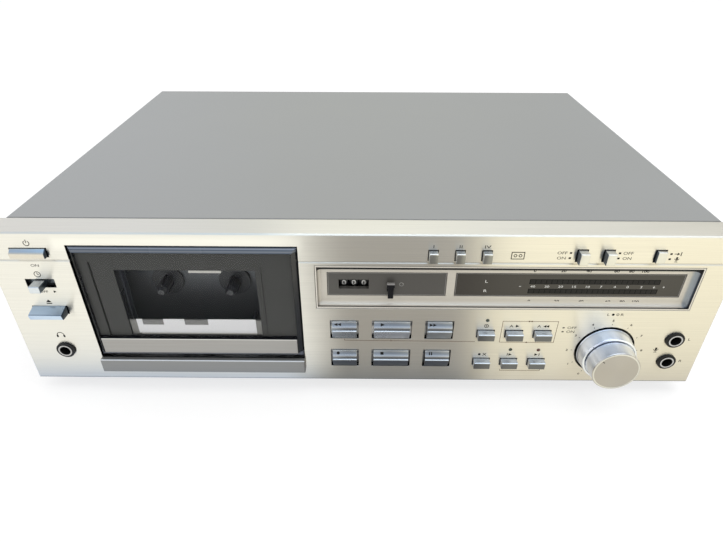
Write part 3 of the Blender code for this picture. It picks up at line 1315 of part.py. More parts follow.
def main_board(finish):
    right = PANEL_WIDTH - COVER_INSET - BOARD_INSET
    left = right - BOARD_WIDTH
    rear = REAR_WALL_FRONT - BOARD_FROM_REAR
    bottom = PAN_TOP + BOARD_POST_HEIGHT + GAP
    top = bottom + BOARD_THICKNESS
    low = (left, rear - BOARD_DEPTH, bottom)
    middle = at((left + right) / 2, rear - BOARD_DEPTH / 2, bottom)
    board = piece("main_board", box(low, (right, rear, top)), middle, finish)
    parts = bmesh.new()
    seat = top - OVERLAP
    for i in range(CAPACITOR_COUNT):
        x = left + CAPACITOR_PITCH * (i + 1)
        y = rear - CAPACITOR_PITCH
        add_rod(parts, (x, y, seat), (x, y, top + CAPACITOR_HEIGHT), CAPACITOR_RADIUS)
    for i in range(CHIP_COUNT):
        x = left + BOARD_POST_INSET + CHIP_PITCH * i
        y = rear - BOARD_DEPTH / 2
        add_box(parts, (x, y, seat), (x + CHIP_WIDTH, y + CHIP_DEPTH, top + CHIP_HEIGHT))
    join(board, parts)


def line_jack_places():
    first = PANEL_WIDTH - COVER_INSET - LINE_JACK_INSET
    return [
        (first - column * LINE_JACK_PITCH, LINE_JACK_HEIGHT + row * LINE_JACK_PITCH)
        for column in range(2)
        for row in range(2)
    ]


def line_jack_block(finish):
    places = line_jack_places()
    xs = [x for x, _ in places]
    zs = [z for _, z in places]
    block_back = REAR_WALL_FRONT - GAP
    margin = LINE_JACK_BLOCK_MARGIN
    low = (min(xs) - margin, block_back - LINE_JACK_BLOCK_DEPTH, min(zs) - margin)
    high = (max(xs) + margin, block_back, max(zs) + margin)
    middle = at(min(xs), block_back, min(zs))
    block = piece("line_jack_block", box(low, high), middle, finish)
    sleeves = bmesh.new()
    bores = bmesh.new()
    mouth = REAR_WALL_BACK + LINE_JACK_REACH
    for x, z in places:
        start = (x, block_back - OVERLAP, z)
        add_rod(sleeves, start, (x, mouth, z), LINE_JACK_RADIUS)
        start = (x, mouth - LINE_JACK_BORE_DEPTH, z)
        add_rod(bores, start, (x, mouth + OVERRUN, z), LINE_JACK_BORE)
    join(block, sleeves)
    cut(block, bores)


def mains_inlet(finish):
    """A socket for a two-pin mains lead, with its flange outside the rear wall."""
    x = INLET_INSET
    z = INLET_HEIGHT
    half = INLET_WIDTH / 2
    half_height = INLET_BODY_HEIGHT / 2
    front = REAR_WALL_FRONT - INLET_BODY_DEPTH
    flange_front = REAR_WALL_BACK + GAP
    face = flange_front + INLET_FLANGE_THICKNESS
    low = (x - half, front, z - half_height)
    high = (x + half, flange_front + OVERLAP, z + half_height)
    inlet = piece("mains_inlet", box(low, high), at(x, flange_front, z), finish)
    over = INLET_FLANGE
    low = (x - half - over, flange_front, z - half_height - over)
    join(inlet, box(low, (x + half + over, face, z + half_height + over)))
    half = INLET_RECESS_WIDTH / 2
    half_height = INLET_RECESS_HEIGHT / 2
    floor = face - INLET_RECESS_DEPTH
    low = (x - half, floor, z - half_height)
    cut(inlet, box(low, (x + half, face + OVERRUN, z + half_height)))
    pins = bmesh.new()
    for side in (-1, 1):
        pin = x + side * INLET_PIN_PITCH / 2
        add_rod(pins, (pin, floor - OVERLAP, z), (pin, face - INLET_PIN_SHY, z), INLET_PIN_RADIUS)
    join(inlet, pins)


def door_hinge():
    """An empty on the door's hinge line."""
    hinge = bpy.data.objects.new("door_hinge", None)
    PARTS.objects.link(hinge)
    hinge.location = at(DOOR_MIDDLE, HINGE_BEHIND, HINGE_HEIGHT)
    return hinge


def build():
    champagne = material("champagne_aluminium", (0.72, 0.68, 0.60), 0.32, 1.0)
    sill = material("sill_aluminium", (0.45, 0.45, 0.43), 0.35, 1.0)
    grey = material("grey_paint", (0.38, 0.38, 0.37), 0.5)
    steel = material("plated_steel", (0.55, 0.55, 0.53), 0.35, 1.0)
    rubber = material("foot_rubber", (0.02, 0.02, 0.02), 0.8)
    key = material("silver_key", (0.42, 0.46, 0.52), 0.3, 1.0)
    knob = material("knob_aluminium", (0.62, 0.60, 0.55), 0.25, 1.0)
    black = material("black_plastic", (0.015, 0.015, 0.016), 0.25)
    brown = material("brown_plate", (0.07, 0.062, 0.052), 0.35)
    bezel = material("bezel_silver", (0.62, 0.60, 0.54), 0.3, 1.0)
    glass = material("smoked_window", (0.03, 0.03, 0.03), 0.05, alpha=0.45)
    trim = material("trim_aluminium", (0.50, 0.48, 0.45), 0.3, 1.0)
    brass = material("brass", (0.70, 0.55, 0.25), 0.3, 1.0)
    board = material("circuit_board", (0.30, 0.20, 0.08), 0.6)
    core = material("transformer_steel", (0.20, 0.17, 0.14), 0.5, 0.5)
    soft = material("roller_rubber", (0.03, 0.03, 0.03), 0.7)
    ivory = material("ivory_plastic", (0.60, 0.59, 0.55), 0.4)

    front_panel(champagne)
    door_sill(sill)
    top_cover(grey)
    chassis_pan(steel)
    feet(rubber)
    plain_keys(key)
    transport_keys(key)
    timer_lever(key)
    jacks(black)
    display_bezel(bezel)
    counter_housing(brown)
    counter_wheels(black)
    counter_reset_lever(black)
    meter_module(brown)
    level_knobs(knob)
    level_potentiometer(black)
    cassette_door(door_hinge(), black, glass, trim, black)
    mechanism_plate(steel)
    for name, x in zip(("supply_spindle", "takeup_spindle"), spindle_places()):
        spindle(name, x, ivory)
    capstan(brass)
    motor(steel, brass)
    drive_belt(soft)
    head_bridge(steel)
    pinch_arm(steel, soft)
    power_transformer(core)
    main_board(board)
    line_jack_block(black)
    mains_inlet(black)


for leftover in list(bpy.data.objects):
    bpy.data.objects.remove(leftover, do_unlink=True)
PARTS = collection("cassette_deck")
CUTTERS = collection("cutters")
ORIGIN = bpy.data.objects.new("deck_origin", None)
PARTS.objects.link(ORIGIN)
build()
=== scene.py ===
"""The looks of a front-loading cassette deck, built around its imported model. Metres, +Z up."""

import json
from math import cos, pi, radians, sin

import bmesh
import bpy
from mathutils import Matrix, Vector

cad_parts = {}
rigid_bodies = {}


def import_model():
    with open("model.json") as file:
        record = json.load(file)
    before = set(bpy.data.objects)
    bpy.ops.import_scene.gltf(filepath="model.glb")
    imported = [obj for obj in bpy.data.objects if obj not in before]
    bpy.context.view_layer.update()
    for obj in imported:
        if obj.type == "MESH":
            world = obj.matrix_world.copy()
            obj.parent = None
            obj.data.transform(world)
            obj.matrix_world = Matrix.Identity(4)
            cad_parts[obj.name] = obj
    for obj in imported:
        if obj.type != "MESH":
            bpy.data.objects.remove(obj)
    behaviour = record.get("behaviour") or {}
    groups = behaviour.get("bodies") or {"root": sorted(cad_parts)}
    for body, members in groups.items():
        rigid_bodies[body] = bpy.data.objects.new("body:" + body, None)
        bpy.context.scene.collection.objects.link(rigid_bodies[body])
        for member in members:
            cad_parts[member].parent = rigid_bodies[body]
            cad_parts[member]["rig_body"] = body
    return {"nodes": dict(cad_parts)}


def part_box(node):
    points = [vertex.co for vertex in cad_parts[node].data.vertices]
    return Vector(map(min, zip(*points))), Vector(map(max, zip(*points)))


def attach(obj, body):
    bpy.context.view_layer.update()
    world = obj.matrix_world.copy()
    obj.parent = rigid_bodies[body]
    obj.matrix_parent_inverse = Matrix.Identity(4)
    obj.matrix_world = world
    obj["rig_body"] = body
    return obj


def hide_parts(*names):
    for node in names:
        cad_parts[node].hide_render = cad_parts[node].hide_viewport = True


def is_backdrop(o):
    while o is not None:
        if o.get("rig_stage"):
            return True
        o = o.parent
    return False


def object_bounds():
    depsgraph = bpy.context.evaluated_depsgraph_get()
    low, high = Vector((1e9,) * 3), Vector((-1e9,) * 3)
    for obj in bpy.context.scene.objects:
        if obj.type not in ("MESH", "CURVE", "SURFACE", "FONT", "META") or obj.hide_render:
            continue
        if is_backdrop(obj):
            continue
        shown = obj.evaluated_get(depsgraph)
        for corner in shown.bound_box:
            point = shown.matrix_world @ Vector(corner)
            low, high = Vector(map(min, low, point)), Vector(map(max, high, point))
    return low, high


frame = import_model()
CAD_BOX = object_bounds()

# Units, and the panel's lower left front corner, from which every place below is measured in millimetres
MM = 0.001
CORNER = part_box("front_panel")[0]
ROUND = 128
SHARP = radians(32)

# Camera, in metres and degrees
CAMERA_PLACE = Vector((0.001254, -0.402722, 0.263416))
CAMERA_YAW = -0.3751
CAMERA_PITCH = 32.9263
CAMERA_ROLL = 0.1619
CAMERA_LENS = 26.559
SENSOR_WIDTH = 36


def at(x, y, z):
    """World place of a point given in millimetres right of, behind and above the panel's corner."""
    return CORNER + Vector((x, y, z)) * MM


def span(node):
    """Lowest and highest corner of a node, in millimetres from the panel's corner."""
    low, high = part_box(node)
    return (low - CORNER) / MM, (high - CORNER) / MM


def centre(node):
    low, high = span(node)
    return (low + high) / 2


def body_of(node):
    return frame["nodes"][node]["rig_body"]


def seen(x, z, depth):
    """Place on a plane depth behind the panel's face, where the camera sees the point x, z of that face."""
    eye = (CAMERA_PLACE - CORNER) / MM
    stretch = (depth - eye.y) / -eye.y
    return eye.x + (x - eye.x) * stretch, eye.z + (z - eye.z) * stretch


# Node graphs


class Graph:
    """The nodes of one material or of the world."""

    def __init__(self, owner):
        owner.use_nodes = True
        self.tree = owner.node_tree
        self.tree.nodes.clear()

    def add(self, kind, inputs=None, **settings):
        node = self.tree.nodes.new("ShaderNode" + kind)
        for key, value in settings.items():
            setattr(node, key, value)
        for key, value in (inputs or {}).items():
            if isinstance(value, bpy.types.NodeSocket):
                self.tree.links.new(value, node.inputs[key])
            else:
                node.inputs[key].default_value = value
        return node

    def out(self, kind, inputs=None, **settings):
        """The first output of a new node."""
        return self.add(kind, inputs, **settings).outputs[0]

    def math(self, operation, first, second=0):
        return self.out("Math", {0: first, 1: second}, operation=operation)

    def ramp(self, value, low, high, start=0, end=1, smooth=False):
        """start at low, end at high, and clamped outside."""
        kind = "SMOOTHSTEP" if smooth else "LINEAR"
        inputs = {"Value": value, "From Min": low, "From Max": high, "To Min": start, "To Max": end}
        return self.out("MapRange", inputs, interpolation_type=kind)

    def band(self, value, low, high, soft):
        """1 between low and high, with soft edges."""
        rise = self.ramp(value, low - soft, low + soft, smooth=True)
        fall = self.ramp(value, high - soft, high + soft, 1, 0, True)
        return self.math("MULTIPLY", rise, fall)

    def mix(self, factor, first, second):
        """Either colour is an output or three numbers."""
        pair = [value if isinstance(value, bpy.types.NodeSocket) else (*value, 1) for value in (first, second)]
        return self.add("Mix", {0: factor, 6: pair[0], 7: pair[1]}, data_type="RGBA").outputs[2]

    def place(self):
        return self.add("TexCoord").outputs["Object"]

    def noise(self, scale, detail):
        place = self.out("Mapping", {"Vector": self.place(), "Scale": scale})
        inputs = {"Vector": place, "Scale": 1, "Detail": detail, "Roughness": 0.55}
        return self.add("TexNoise", inputs).outputs["Fac"]


def panel_place(graph):
    """Millimetres right of, behind and above the panel's corner, in the shape as it was made."""
    shifted = graph.out("VectorMath", {0: graph.place(), 1: CORNER}, operation="SUBTRACT")
    scaled = graph.out("VectorMath", {0: shifted, "Scale": 1 / MM}, operation="SCALE")
    parts = graph.add("SeparateXYZ", {"Vector": scaled})
    return {axis.lower(): parts.outputs[axis] for axis in "XYZ"}


def zone_tones(graph, varied, zones):
    """Each zone is a colour, a soft edge in millimetres, and the zone's reach along the axes that bound it."""
    place = panel_place(graph)
    for colour, soft, reach in zones:
        share = 1
        for axis, (low, high) in reach.items():
            share = graph.math("MULTIPLY", graph.band(place[axis], low, high, soft), share)
        varied = graph.mix(share, varied, colour)
    return varied


def ring_tones(graph, varied, middle, steps):
    """Rings round an axis along Y. Each step is a radius in millimetres and the colour outside it."""
    place = panel_place(graph)
    x = graph.math("SUBTRACT", place["x"], middle.x)
    z = graph.math("SUBTRACT", place["z"], middle.z)
    square = graph.math("ADD", graph.math("MULTIPLY", x, x), graph.math("MULTIPLY", z, z))
    radius = graph.math("SQRT", square)
    for step, colour in steps:
        varied = graph.mix(graph.ramp(radius, step - 0.1, step + 0.1), varied, colour)
    return varied


EVEN = (1, 1, 1)
STREAKS = (0.006, 1, 1)
ALONG_X = "x"
AROUND_Y = "y"
GRAIN_DEPTH = 0.00003


def finish(
    name, colour, roughness, metallic=0, contrast=0.1, fineness=900, relief=0.15, grain=EVEN, cloud=14,
    edge=0.0003, brushed=None, spread=0.06, coat=0, alpha=1, ior=1.5, zones=(), rings=()
):
    """A surface whose tone, gloss and relief vary with a fine grain and with broad clouds.

    zones, and the middle and steps in rings, give the tones that lie over the varied colour.
    """
    made = bpy.data.materials.new(name)
    graph = Graph(made)
    fine = graph.noise([fineness * axis for axis in grain], 3)
    broad = graph.noise([cloud * (0.3 + 0.7 * axis) for axis in grain], 2)
    both = graph.math("ADD", graph.math("MULTIPLY", fine, 0.6), graph.math("MULTIPLY", broad, 0.4))
    dark = [channel * (1 - contrast / 2) for channel in colour]
    light = [min(1, channel * (1 + contrast / 2)) for channel in colour]
    varied = graph.mix(graph.ramp(both, 0.35, 0.65), dark, light)
    if zones:
        varied = zone_tones(graph, varied, zones)
    if rings:
        varied = ring_tones(graph, varied, *rings)
    soft = graph.out("Bevel", {"Radius": edge}, samples=4)
    bump = {"Height": fine, "Strength": relief, "Distance": GRAIN_DEPTH, "Normal": soft}
    inputs = {
        "Base Color": varied,
        "Roughness": graph.ramp(broad, 0.3, 0.7, roughness - spread / 2, roughness + spread / 2),
        "Metallic": metallic,
        "Coat Weight": coat,
        "Alpha": alpha,
        "IOR": ior,
        "Normal": graph.out("Bump", bump),
    }
    if brushed:
        inputs["Anisotropic Rotation"] = 0.25
    if brushed == ALONG_X:
        inputs["Anisotropic"] = 1
        inputs["Tangent"] = graph.out("CombineXYZ", {"X": 1})
    elif brushed == AROUND_Y:
        inputs["Anisotropic"] = 0.8
        inputs["Tangent"] = graph.out("Tangent", direction_type="RADIAL", axis="Y")
    graph.add("OutputMaterial", {"Surface": graph.out("BsdfPrincipled", inputs)})
    return made


# Mesh helpers


def new_object(name, shape):
    mesh = bpy.data.meshes.new(name)
    shape.to_mesh(mesh)
    shape.free()
    thing = bpy.data.objects.new(name, mesh)
    bpy.context.scene.collection.objects.link(thing)
    return thing


def add_piece(name, shape, material, body="root", smooth=False):
    thing = new_object(name, shape)
    thing.data.materials.append(material)
    if smooth:
        thing.data.shade_smooth()
        thing.data.set_sharp_from_angle(angle=SHARP)
    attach(thing, body)
    return thing


def axis_matrix(origin, right, up):
    """Matrix of a frame in millimetres with its origin at a place given from the panel's corner."""
    right = Vector(right).normalized()
    up = Vector(up).normalized()
    axes = Matrix((right, up, right.cross(up))).transposed().to_4x4()
    return Matrix.Translation(at(*origin)) @ axes @ Matrix.Scale(MM, 4)


def facing_front(x, y, z):
    """Matrix of a plane that faces forwards, with its origin at that place."""
    return axis_matrix((x, y, z), (1, 0, 0), (0, 0, 1))


def facing_rear(x, y, z):
    return axis_matrix((x, y, z), (-1, 0, 0), (0, 0, 1))


def turn(shape, profile, matrix, sides=ROUND):
    """Adds a form turned about the local Z axis. profile is (radius, out) points from rear to front."""
    rings = []
    for radius, out in profile:
        if radius == 0:
            rings.append([shape.verts.new(matrix @ Vector((0, 0, out)))])
            continue
        angles = [2 * pi * i / sides for i in range(sides)]
        places = [Vector((radius * cos(angle), radius * sin(angle), out)) for angle in angles]
        rings.append([shape.verts.new(matrix @ place) for place in places])
    closed = profile[0][0] != 0
    following_rings = rings[1:] + rings[:1] if closed else rings[1:]
    for first, second in zip(rings, following_rings):
        for i in range(sides):
            following = (i + 1) % sides
            corners = [first[i % len(first)], first[following % len(first)]]
            corners += [second[following % len(second)], second[i % len(second)]]
            unique = list(dict.fromkeys(corners))
            if len(unique) > 2:
                shape.faces.new(unique)
    bmesh.ops.recalc_face_normals(shape, faces=shape.faces)


def turned_piece(name, node, profile, matrix, material, sides=ROUND):
    """A turned piece that replaces a node and rides on its body."""
    shape = bmesh.new()
    turn(shape, profile, matrix, sides)
    thing = add_piece(name, shape, material, body_of(node), True)
    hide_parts(node)


def slab(shape, low, high, bevel=0):
    """Adds a box between two places given from the panel's corner, with its edges bevelled."""
    low = at(*low)
    high = at(*high)
    matrix = Matrix.Translation((low + high) / 2) @ Matrix.Diagonal((*(high - low), 1))
    made = bmesh.ops.create_cube(shape, size=1, matrix=matrix)
    if bevel:
        edges = list({edge for corner in made["verts"] for edge in corner.link_edges})
        bmesh.ops.bevel(shape, geom=edges, offset=bevel * MM, segments=2, affect="EDGES", profile=0.5)


# Printing, in millimetres

INK = 0.03
INK_ROOT = 0.02
LETTER_WIDEN = 1.3


class Print:
    """Flat printed shapes in millimetres, right and up from an origin, that become one thin solid."""

    def __init__(self):
        self.shape = bmesh.new()

    def outline(self, points):
        self.shape.faces.new([self.shape.verts.new((u, v, 0)) for u, v in points])

    def bar(self, u, v, width, height):
        half = width / 2
        rise = height / 2
        self.outline([(u - half, v - rise), (u + half, v - rise), (u + half, v + rise), (u - half, v + rise)])

    def line(self, start, end, width):
        start = Vector(start)
        end = Vector(end)
        along = (end - start).normalized()
        side = Vector((-along.y, along.x)) * width / 2
        self.outline([start - side, end - side, end + side, start + side])

    def box(self, low, high, width):
        """An unfilled rectangle."""
        left, bottom = low
        right, top = high
        for v in (bottom, top):
            self.bar((left + right) / 2, v, right - left + width, width)
        for u in (left, right):
            self.bar(u, (bottom + top) / 2, width, top - bottom - width)

    def disc(self, u, v, radius, sides=24):
        angles = [2 * pi * i / sides for i in range(sides)]
        self.outline([(u + radius * cos(angle), v + radius * sin(angle)) for angle in angles])

    def arc(self, u, v, radius, width, start=0, end=360, steps=24):
        """Part of a ring, from start to end in degrees, counter-clockwise from the right."""
        inner = radius - width / 2
        outer = radius + width / 2
        turns = [radians(start + (end - start) * i / steps) for i in range(steps + 1)]
        for a, b in zip(turns, turns[1:]):
            ends = ((inner, a), (outer, a), (outer, b), (inner, b))
            self.outline([(u + reach * cos(angle), v + reach * sin(angle)) for reach, angle in ends])

    def arrow(self, u, v, width, height, facing=1):
        """A solid triangle that points right, or left with facing -1."""
        half = facing * width / 2
        points = [(u - half, v - height / 2), (u + half, v), (u - half, v + height / 2)]
        self.outline(points if facing > 0 else points[::-1])

    def take(self, mesh, matrix):
        """Moves a mesh's faces into the print."""
        mesh.transform(matrix)
        self.shape.from_mesh(mesh)
        bpy.data.meshes.remove(mesh)

    def words(self, text, u, v, height, widen=LETTER_WIDEN, bold=0):
        """Letters or digits, centred, with capitals of that height. bold is a share of the letter's size."""
        curve = bpy.data.curves.new("letters", "FONT")
        curve.body = text
        curve.offset = bold
        curve.resolution_u = 3
        thing = bpy.data.objects.new("letters", curve)
        bpy.context.scene.collection.objects.link(thing)
        graph = bpy.context.evaluated_depsgraph_get()
        mesh = bpy.data.meshes.new_from_object(thing.evaluated_get(graph))
        tall = [corner.co.y for corner in mesh.vertices]
        wide = [corner.co.x for corner in mesh.vertices]
        scale = height / (max(tall) - min(tall))
        middle = Vector(((max(wide) + min(wide)) / 2, (max(tall) + min(tall)) / 2, 0))
        resize = Matrix.Diagonal((scale * widen, scale, 1, 1))
        self.take(mesh, Matrix.Translation((u, v, 0)) @ resize @ Matrix.Translation(-middle))
        bpy.data.objects.remove(thing)
        bpy.data.curves.remove(curve)

    def draw(self, strokes):
        """Each stroke is the name of one of the shapes above, and the values that it takes."""
        for shape, *values in strokes:
            getattr(self, shape)(*values)

    def sign(self, strokes, u, v, scale=1.4):
        """Strokes drawn round the origin, put at u, v and scaled."""
        part = Print()
        part.draw(strokes)
        mesh = bpy.data.meshes.new("sign")
        part.shape.to_mesh(mesh)
        part.shape.free()
        self.take(mesh, Matrix.Translation((u, v, 0)) @ Matrix.Diagonal((scale, scale, 1, 1)))

    def make(self, name, matrix, material, body="root", thickness=INK, bend=None):
        """Thickens the shapes and puts them in place. bend maps a local point in millimetres to another."""
        shape = self.shape
        bmesh.ops.remove_doubles(shape, verts=shape.verts, dist=0.0005)
        for corner in shape.verts:
            corner.co.z = -INK_ROOT
        made = bmesh.ops.extrude_face_region(shape, geom=shape.faces[:])
        for item in made["geom"]:
            if isinstance(item, bmesh.types.BMVert):
                item.co.z = thickness
        if bend:
            for corner in shape.verts:
                corner.co = bend(corner.co)
        bmesh.ops.transform(shape, matrix=matrix, verts=shape.verts)
        bmesh.ops.recalc_face_normals(shape, faces=shape.faces)
        add_piece(name, shape, material, body)


# Surfaces that several pieces share

WARM_METAL = (0.72, 0.68, 0.61)
BRASS = (0.72, 0.52, 0.22)
BLACK = (0.012, 0.012, 0.014)
DOOR_PLASTIC = (0.02, 0.021, 0.024)
# Painted shade along the panel's foot
PANEL_FOOT_SHADE = (0.14, 0.155, 0.18)
# Painted shade on the right sides of the power and eject buttons
KEY_SIDE_SHADE = (0.03, 0.04, 0.055)
# Painted light: the knob's greyer face and rim dim its highlight, and its dark root is a painted shadow line
KNOB_ZONES = (
    ((0.66, 0.66, 0.66), 0.1, {"y": (-20, -19.2)}),
    ((0.44, 0.42, 0.42), 0.02, {"y": (-19.85, -19.5)}),
    ((0.05, 0.06, 0.08), 0.1, {"y": (-0.2, 3)}),
)
knob_metal = finish(
    "turned_aluminium", (0.81, 0.85, 0.95), 0.28, 1, 0.06, 1800, 0.08,
    brushed=AROUND_Y, edge=0.0002, zones=KNOB_ZONES
)
black_plastic = finish("control_black_plastic", BLACK, 0.35, 0, 0.3, 1600, 0.1)
rubber = finish("foot_rubber", (0.016, 0.016, 0.017), 0.7, 0, 0.3, 700, 0.4)
# Dark steel: partly a dark finish, partly painted shade of the deck's inside seen through the window
dark_steel = finish("dark_mechanism_steel", (0.11, 0.115, 0.125), 0.4, 0.6, 0.2, 700, 0.1, cloud=40)
black_ink = finish("black_ink", (0.015, 0.014, 0.013), 0.5, 0, 0.3, 2500, 0, edge=0.00001, ior=1.15)
white_ink = finish("white_ink", (0.88, 0.87, 0.82), 0.5, 0, 0.1, 2500, 0, edge=0.00001)

# The finish of each slot that the imported nodes name

# Painted light: a dark foot is painted shade, and a paler band over the door is a painted highlight.
INSIDE = {"x": (4, 426)}
PANEL_ZONES = (
    (PANEL_FOOT_SHADE, 0.1, {"z": (-1, 1.15)}),
    ((0.8, 0.76, 0.68), 2.5, {"x": (40, 181), "y": (-9, 9), "z": (99, 107)}),
    # The panel's hole walls and inner face are painted black as the shade in them.
    (BLACK, 0.05, {**INSIDE, "y": (0.22, 50), "z": (4, 90.8)}),
    (BLACK, 0.05, {**INSIDE, "y": (0.7, 50), "z": (90.7, 92.9)}),
    (BLACK, 0.05, {**INSIDE, "y": (0.22, 50), "z": (92.8, 108)}),
)
# Painted light: a highlight on the trim's top bevel, and painted shadow lines above it and at its left end
TRIM_ZONES = (
    ((0.8, 0.77, 0.72), 0.1, {"z": (35.2, 35.6)}),
    (BLACK, 0.1, {"z": (35.7, 37)}),
    (BLACK, 0.1, {"x": (50.5, 51.4)}),
)
# A painted highlight along the sill's front top edge
SILL_ZONES = (((0.66, 0.66, 0.66), 0.1, {"y": (-4, -3.2), "z": (18.8, 19.6)}),)
# Painted light in the display recess: the dark left cove is painted shade, the blue right cove a painted
# reflection.
BEZEL_ZONES = (
    ((0.1, 0.085, 0.065), 1, {"x": (180, 188.6), "y": (0.1, 6)}),
    ((0.34, 0.37, 0.4), 1, {"x": (408.6, 420)}),
    ((0.03, 0.045, 0.07), 0.5, {"x": (409.4, 420), "y": (-5, 2)}),
    # Painted shadow: black lines along the recess's foot, under its top edge and at its right front.
    (BLACK, 0.4, {"y": (0.4, 1.5), "z": (58.5, 64)}),
    (BLACK, 0.2, {"y": (0.1, 6), "z": (84.5, 90)}),
    (BLACK, 0.15, {"y": (0.1, 0.7), "x": (405, 420)}),
    (WARM_METAL, 0.04, {"y": (-1, 0.06)}),
    # A painted highlight on the foot of the rim.
    ((0.95, 0.92, 0.85), 0.04, {"y": (-1, 0.06), "z": (57, 59)}),
)
PLATE_ZONES = (((0.096, 0.091, 0.082), 0.5, {"x": (190, 267)}),)

SLOT_FINISHES = {
    "belt_rubber": finish("belt_rubber", (0.02, 0.02, 0.02), 0.55, 0, 0.3, 1200, 0.2),
    "bezel": finish(
        "bezel_cream", (0.66, 0.62, 0.55), 0.42, 0.3, 0.06, 2000, 0.15, STREAKS, edge=0.0001, zones=BEZEL_ZONES
    ),
    "board": finish("board_green", (0.05, 0.13, 0.05), 0.35, 0, 0.35, 350, 0.2, coat=0.2),
    "brass": finish("brass", BRASS, 0.3, 1, 0.14, 900, 0.1),
    "chassis": finish("zinc_plated_steel", (0.55, 0.55, 0.52), 0.38, 1, 0.16, 500, 0.1, cloud=40),
    "control_black": black_plastic,
    "cover_paint": finish(
        "satin_grey_paint", (0.295, 0.3, 0.3), 0.46, 0.2, 0.05, 2600, 0.25, cloud=9, edge=0.0008
    ),
    "door_black": finish("door_black_plastic", DOOR_PLASTIC, 0.26, 0, 0.3, edge=0.0004, coat=0.2),
    "foot_rubber": rubber,
    "key_silver": finish("key_satin_silver", (0.55, 0.55, 0.54), 0.3, 0.9, 0.1, 1500, 0.1, edge=0.0002),
    "knob": knob_metal,
    "motor_steel": finish("motor_can_steel", (0.45, 0.45, 0.45), 0.3, 1, 0.12, 900, 0.08),
    "panel": finish(
        "brushed_aluminium", WARM_METAL, 0.3, 1, 0.14, 2600, 0.25, STREAKS,
        brushed=ALONG_X, spread=0.05, zones=PANEL_ZONES
    ),
    "plate_brown": finish("plate_brown", (0.043, 0.037, 0.031), 0.3, 0, 0.12, 1200, 0.06, zones=PLATE_ZONES),
    "sill": finish(
        "sill_anodised", (0.25, 0.245, 0.235), 0.45, 0.6, 0.1, 2200, 0.2, STREAKS, zones=SILL_ZONES
    ),
    "smoked_glass": finish(
        "smoked_acrylic", (0.012, 0.013, 0.017), 0.05, 0, 0.2, relief=0, alpha=0.07, edge=0.0002, spread=0.02
    ),
    "spindle_plastic": finish("spindle_plastic", (0.03, 0.031, 0.036), 0.35, 0, 0.2, 1200, 0.1),
    "transformer": finish(
        "transformer_lacquer", (0.05, 0.035, 0.03), 0.4, 0.2, 0.3, 1500, 0.3, (1, 1, 0.1)
    ),
    "trim": finish(
        "brushed_trim", (0.36, 0.335, 0.31), 0.36, 1, 0.12, 2600, 0.25, STREAKS,
        brushed=ALONG_X, edge=0.0002, zones=TRIM_ZONES
    ),
}

# Finishes of single nodes

RESET_TOP = span("counter_reset_lever")[1].z
# The lever's grey top is a painted highlight.
RESET_ZONES = (((0.3, 0.29, 0.28), 0.1, {"z": (RESET_TOP - 0.9, RESET_TOP + 1)}),)
# Painted light: the timer lever's bluish top is a painted reflection, its dark edge and root painted shade
TIMER_ZONES = (
    ((0.48, 0.56, 0.66), 0.1, {"y": (-7.5, 0), "z": (78.5, 81)}),
    ((0.1, 0.125, 0.155), 0.1, {"x": (28.5, 29), "y": (-8, 0.5)}),
    ((0.1, 0.115, 0.13), 0.1, {"y": (0.5, 3)}),
)
# Painted light: bands on the door's top bevel are painted reflections, its lighter navy foot is painted light
DOOR_TOP = {"x": (46.5, 178.8), "y": (-3, 1.3)}
DOOR_ZONES = (
    ((0.07, 0.085, 0.11), 0.1, {**DOOR_TOP, "z": (98.2, 102)}),
    ((0.15, 0.16, 0.18), 0.1, {**DOOR_TOP, "z": (98.75, 99.35)}),
    ((0.22, 0.25, 0.31), 0.1, {**DOOR_TOP, "z": (99.95, 100.55)}),
    ((0.02, 0.025, 0.035), 0.1, {**DOOR_TOP, "z": (100.75, 101.2)}),
    ((0.12, 0.13, 0.16), 0.1, {"z": (18, 24.6)}),
)
SHAFT_ZONES = (((0.16, 0.165, 0.18), 0.1, {"y": (0, span("mechanism_plate")[1].y)}),)
JACK_STEPS = ((3.4, (0.62, 0.61, 0.58)), (4.2, (0.013, 0.013, 0.014)))

NODE_FINISHES = {
    "counter_reset_lever": finish("reset_lever_plastic", BLACK, 0.3, edge=0.0002, ior=1.2, zones=RESET_ZONES),
    "timer_lever": finish(
        "timer_lever_metal", (0.56, 0.58, 0.6), 0.3, 0.9, 0.08, edge=0.0002, zones=TIMER_ZONES
    ),
    "door_frame": finish(
        "door_frame_plastic", DOOR_PLASTIC, 0.26, 0, 0.3, edge=0.0001, coat=0.2, zones=DOOR_ZONES
    ),
    "mechanism_plate": dark_steel,
    "head_bridge": dark_steel,
    "capstan_flywheel": finish("brass_flywheel", BRASS, 0.3, 1, 0.14, 900, 0.1, zones=SHAFT_ZONES),
    "cassette_carrier": finish("carrier_plastic", (0.085, 0.093, 0.115), 0.45, 0, 0.3, 1200, 0.1),
    "chassis_pan": finish("chassis_zinc", (0.66, 0.66, 0.67), 0.42, 0.3, 0.12, 500, 0.1, cloud=40),
}
for jack in ("phones_jack", "mic_jack_left", "mic_jack_right"):
    NODE_FINISHES[jack] = finish(
        jack + "_rings", (0.008, 0.008, 0.008), 0.5, edge=0.0002, ior=1.3, rings=(centre(jack), JACK_STEPS)
    )


def dress_nodes():
    """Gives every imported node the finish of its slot, or one of its own."""
    for node, thing in frame["nodes"].items():
        for place in thing.material_slots:
            slot = place.material.name.split(".")[0]
            place.material = NODE_FINISHES.get(node, SLOT_FINISHES[slot])


# Marks printed on the panel. A sign is a list of strokes round the origin

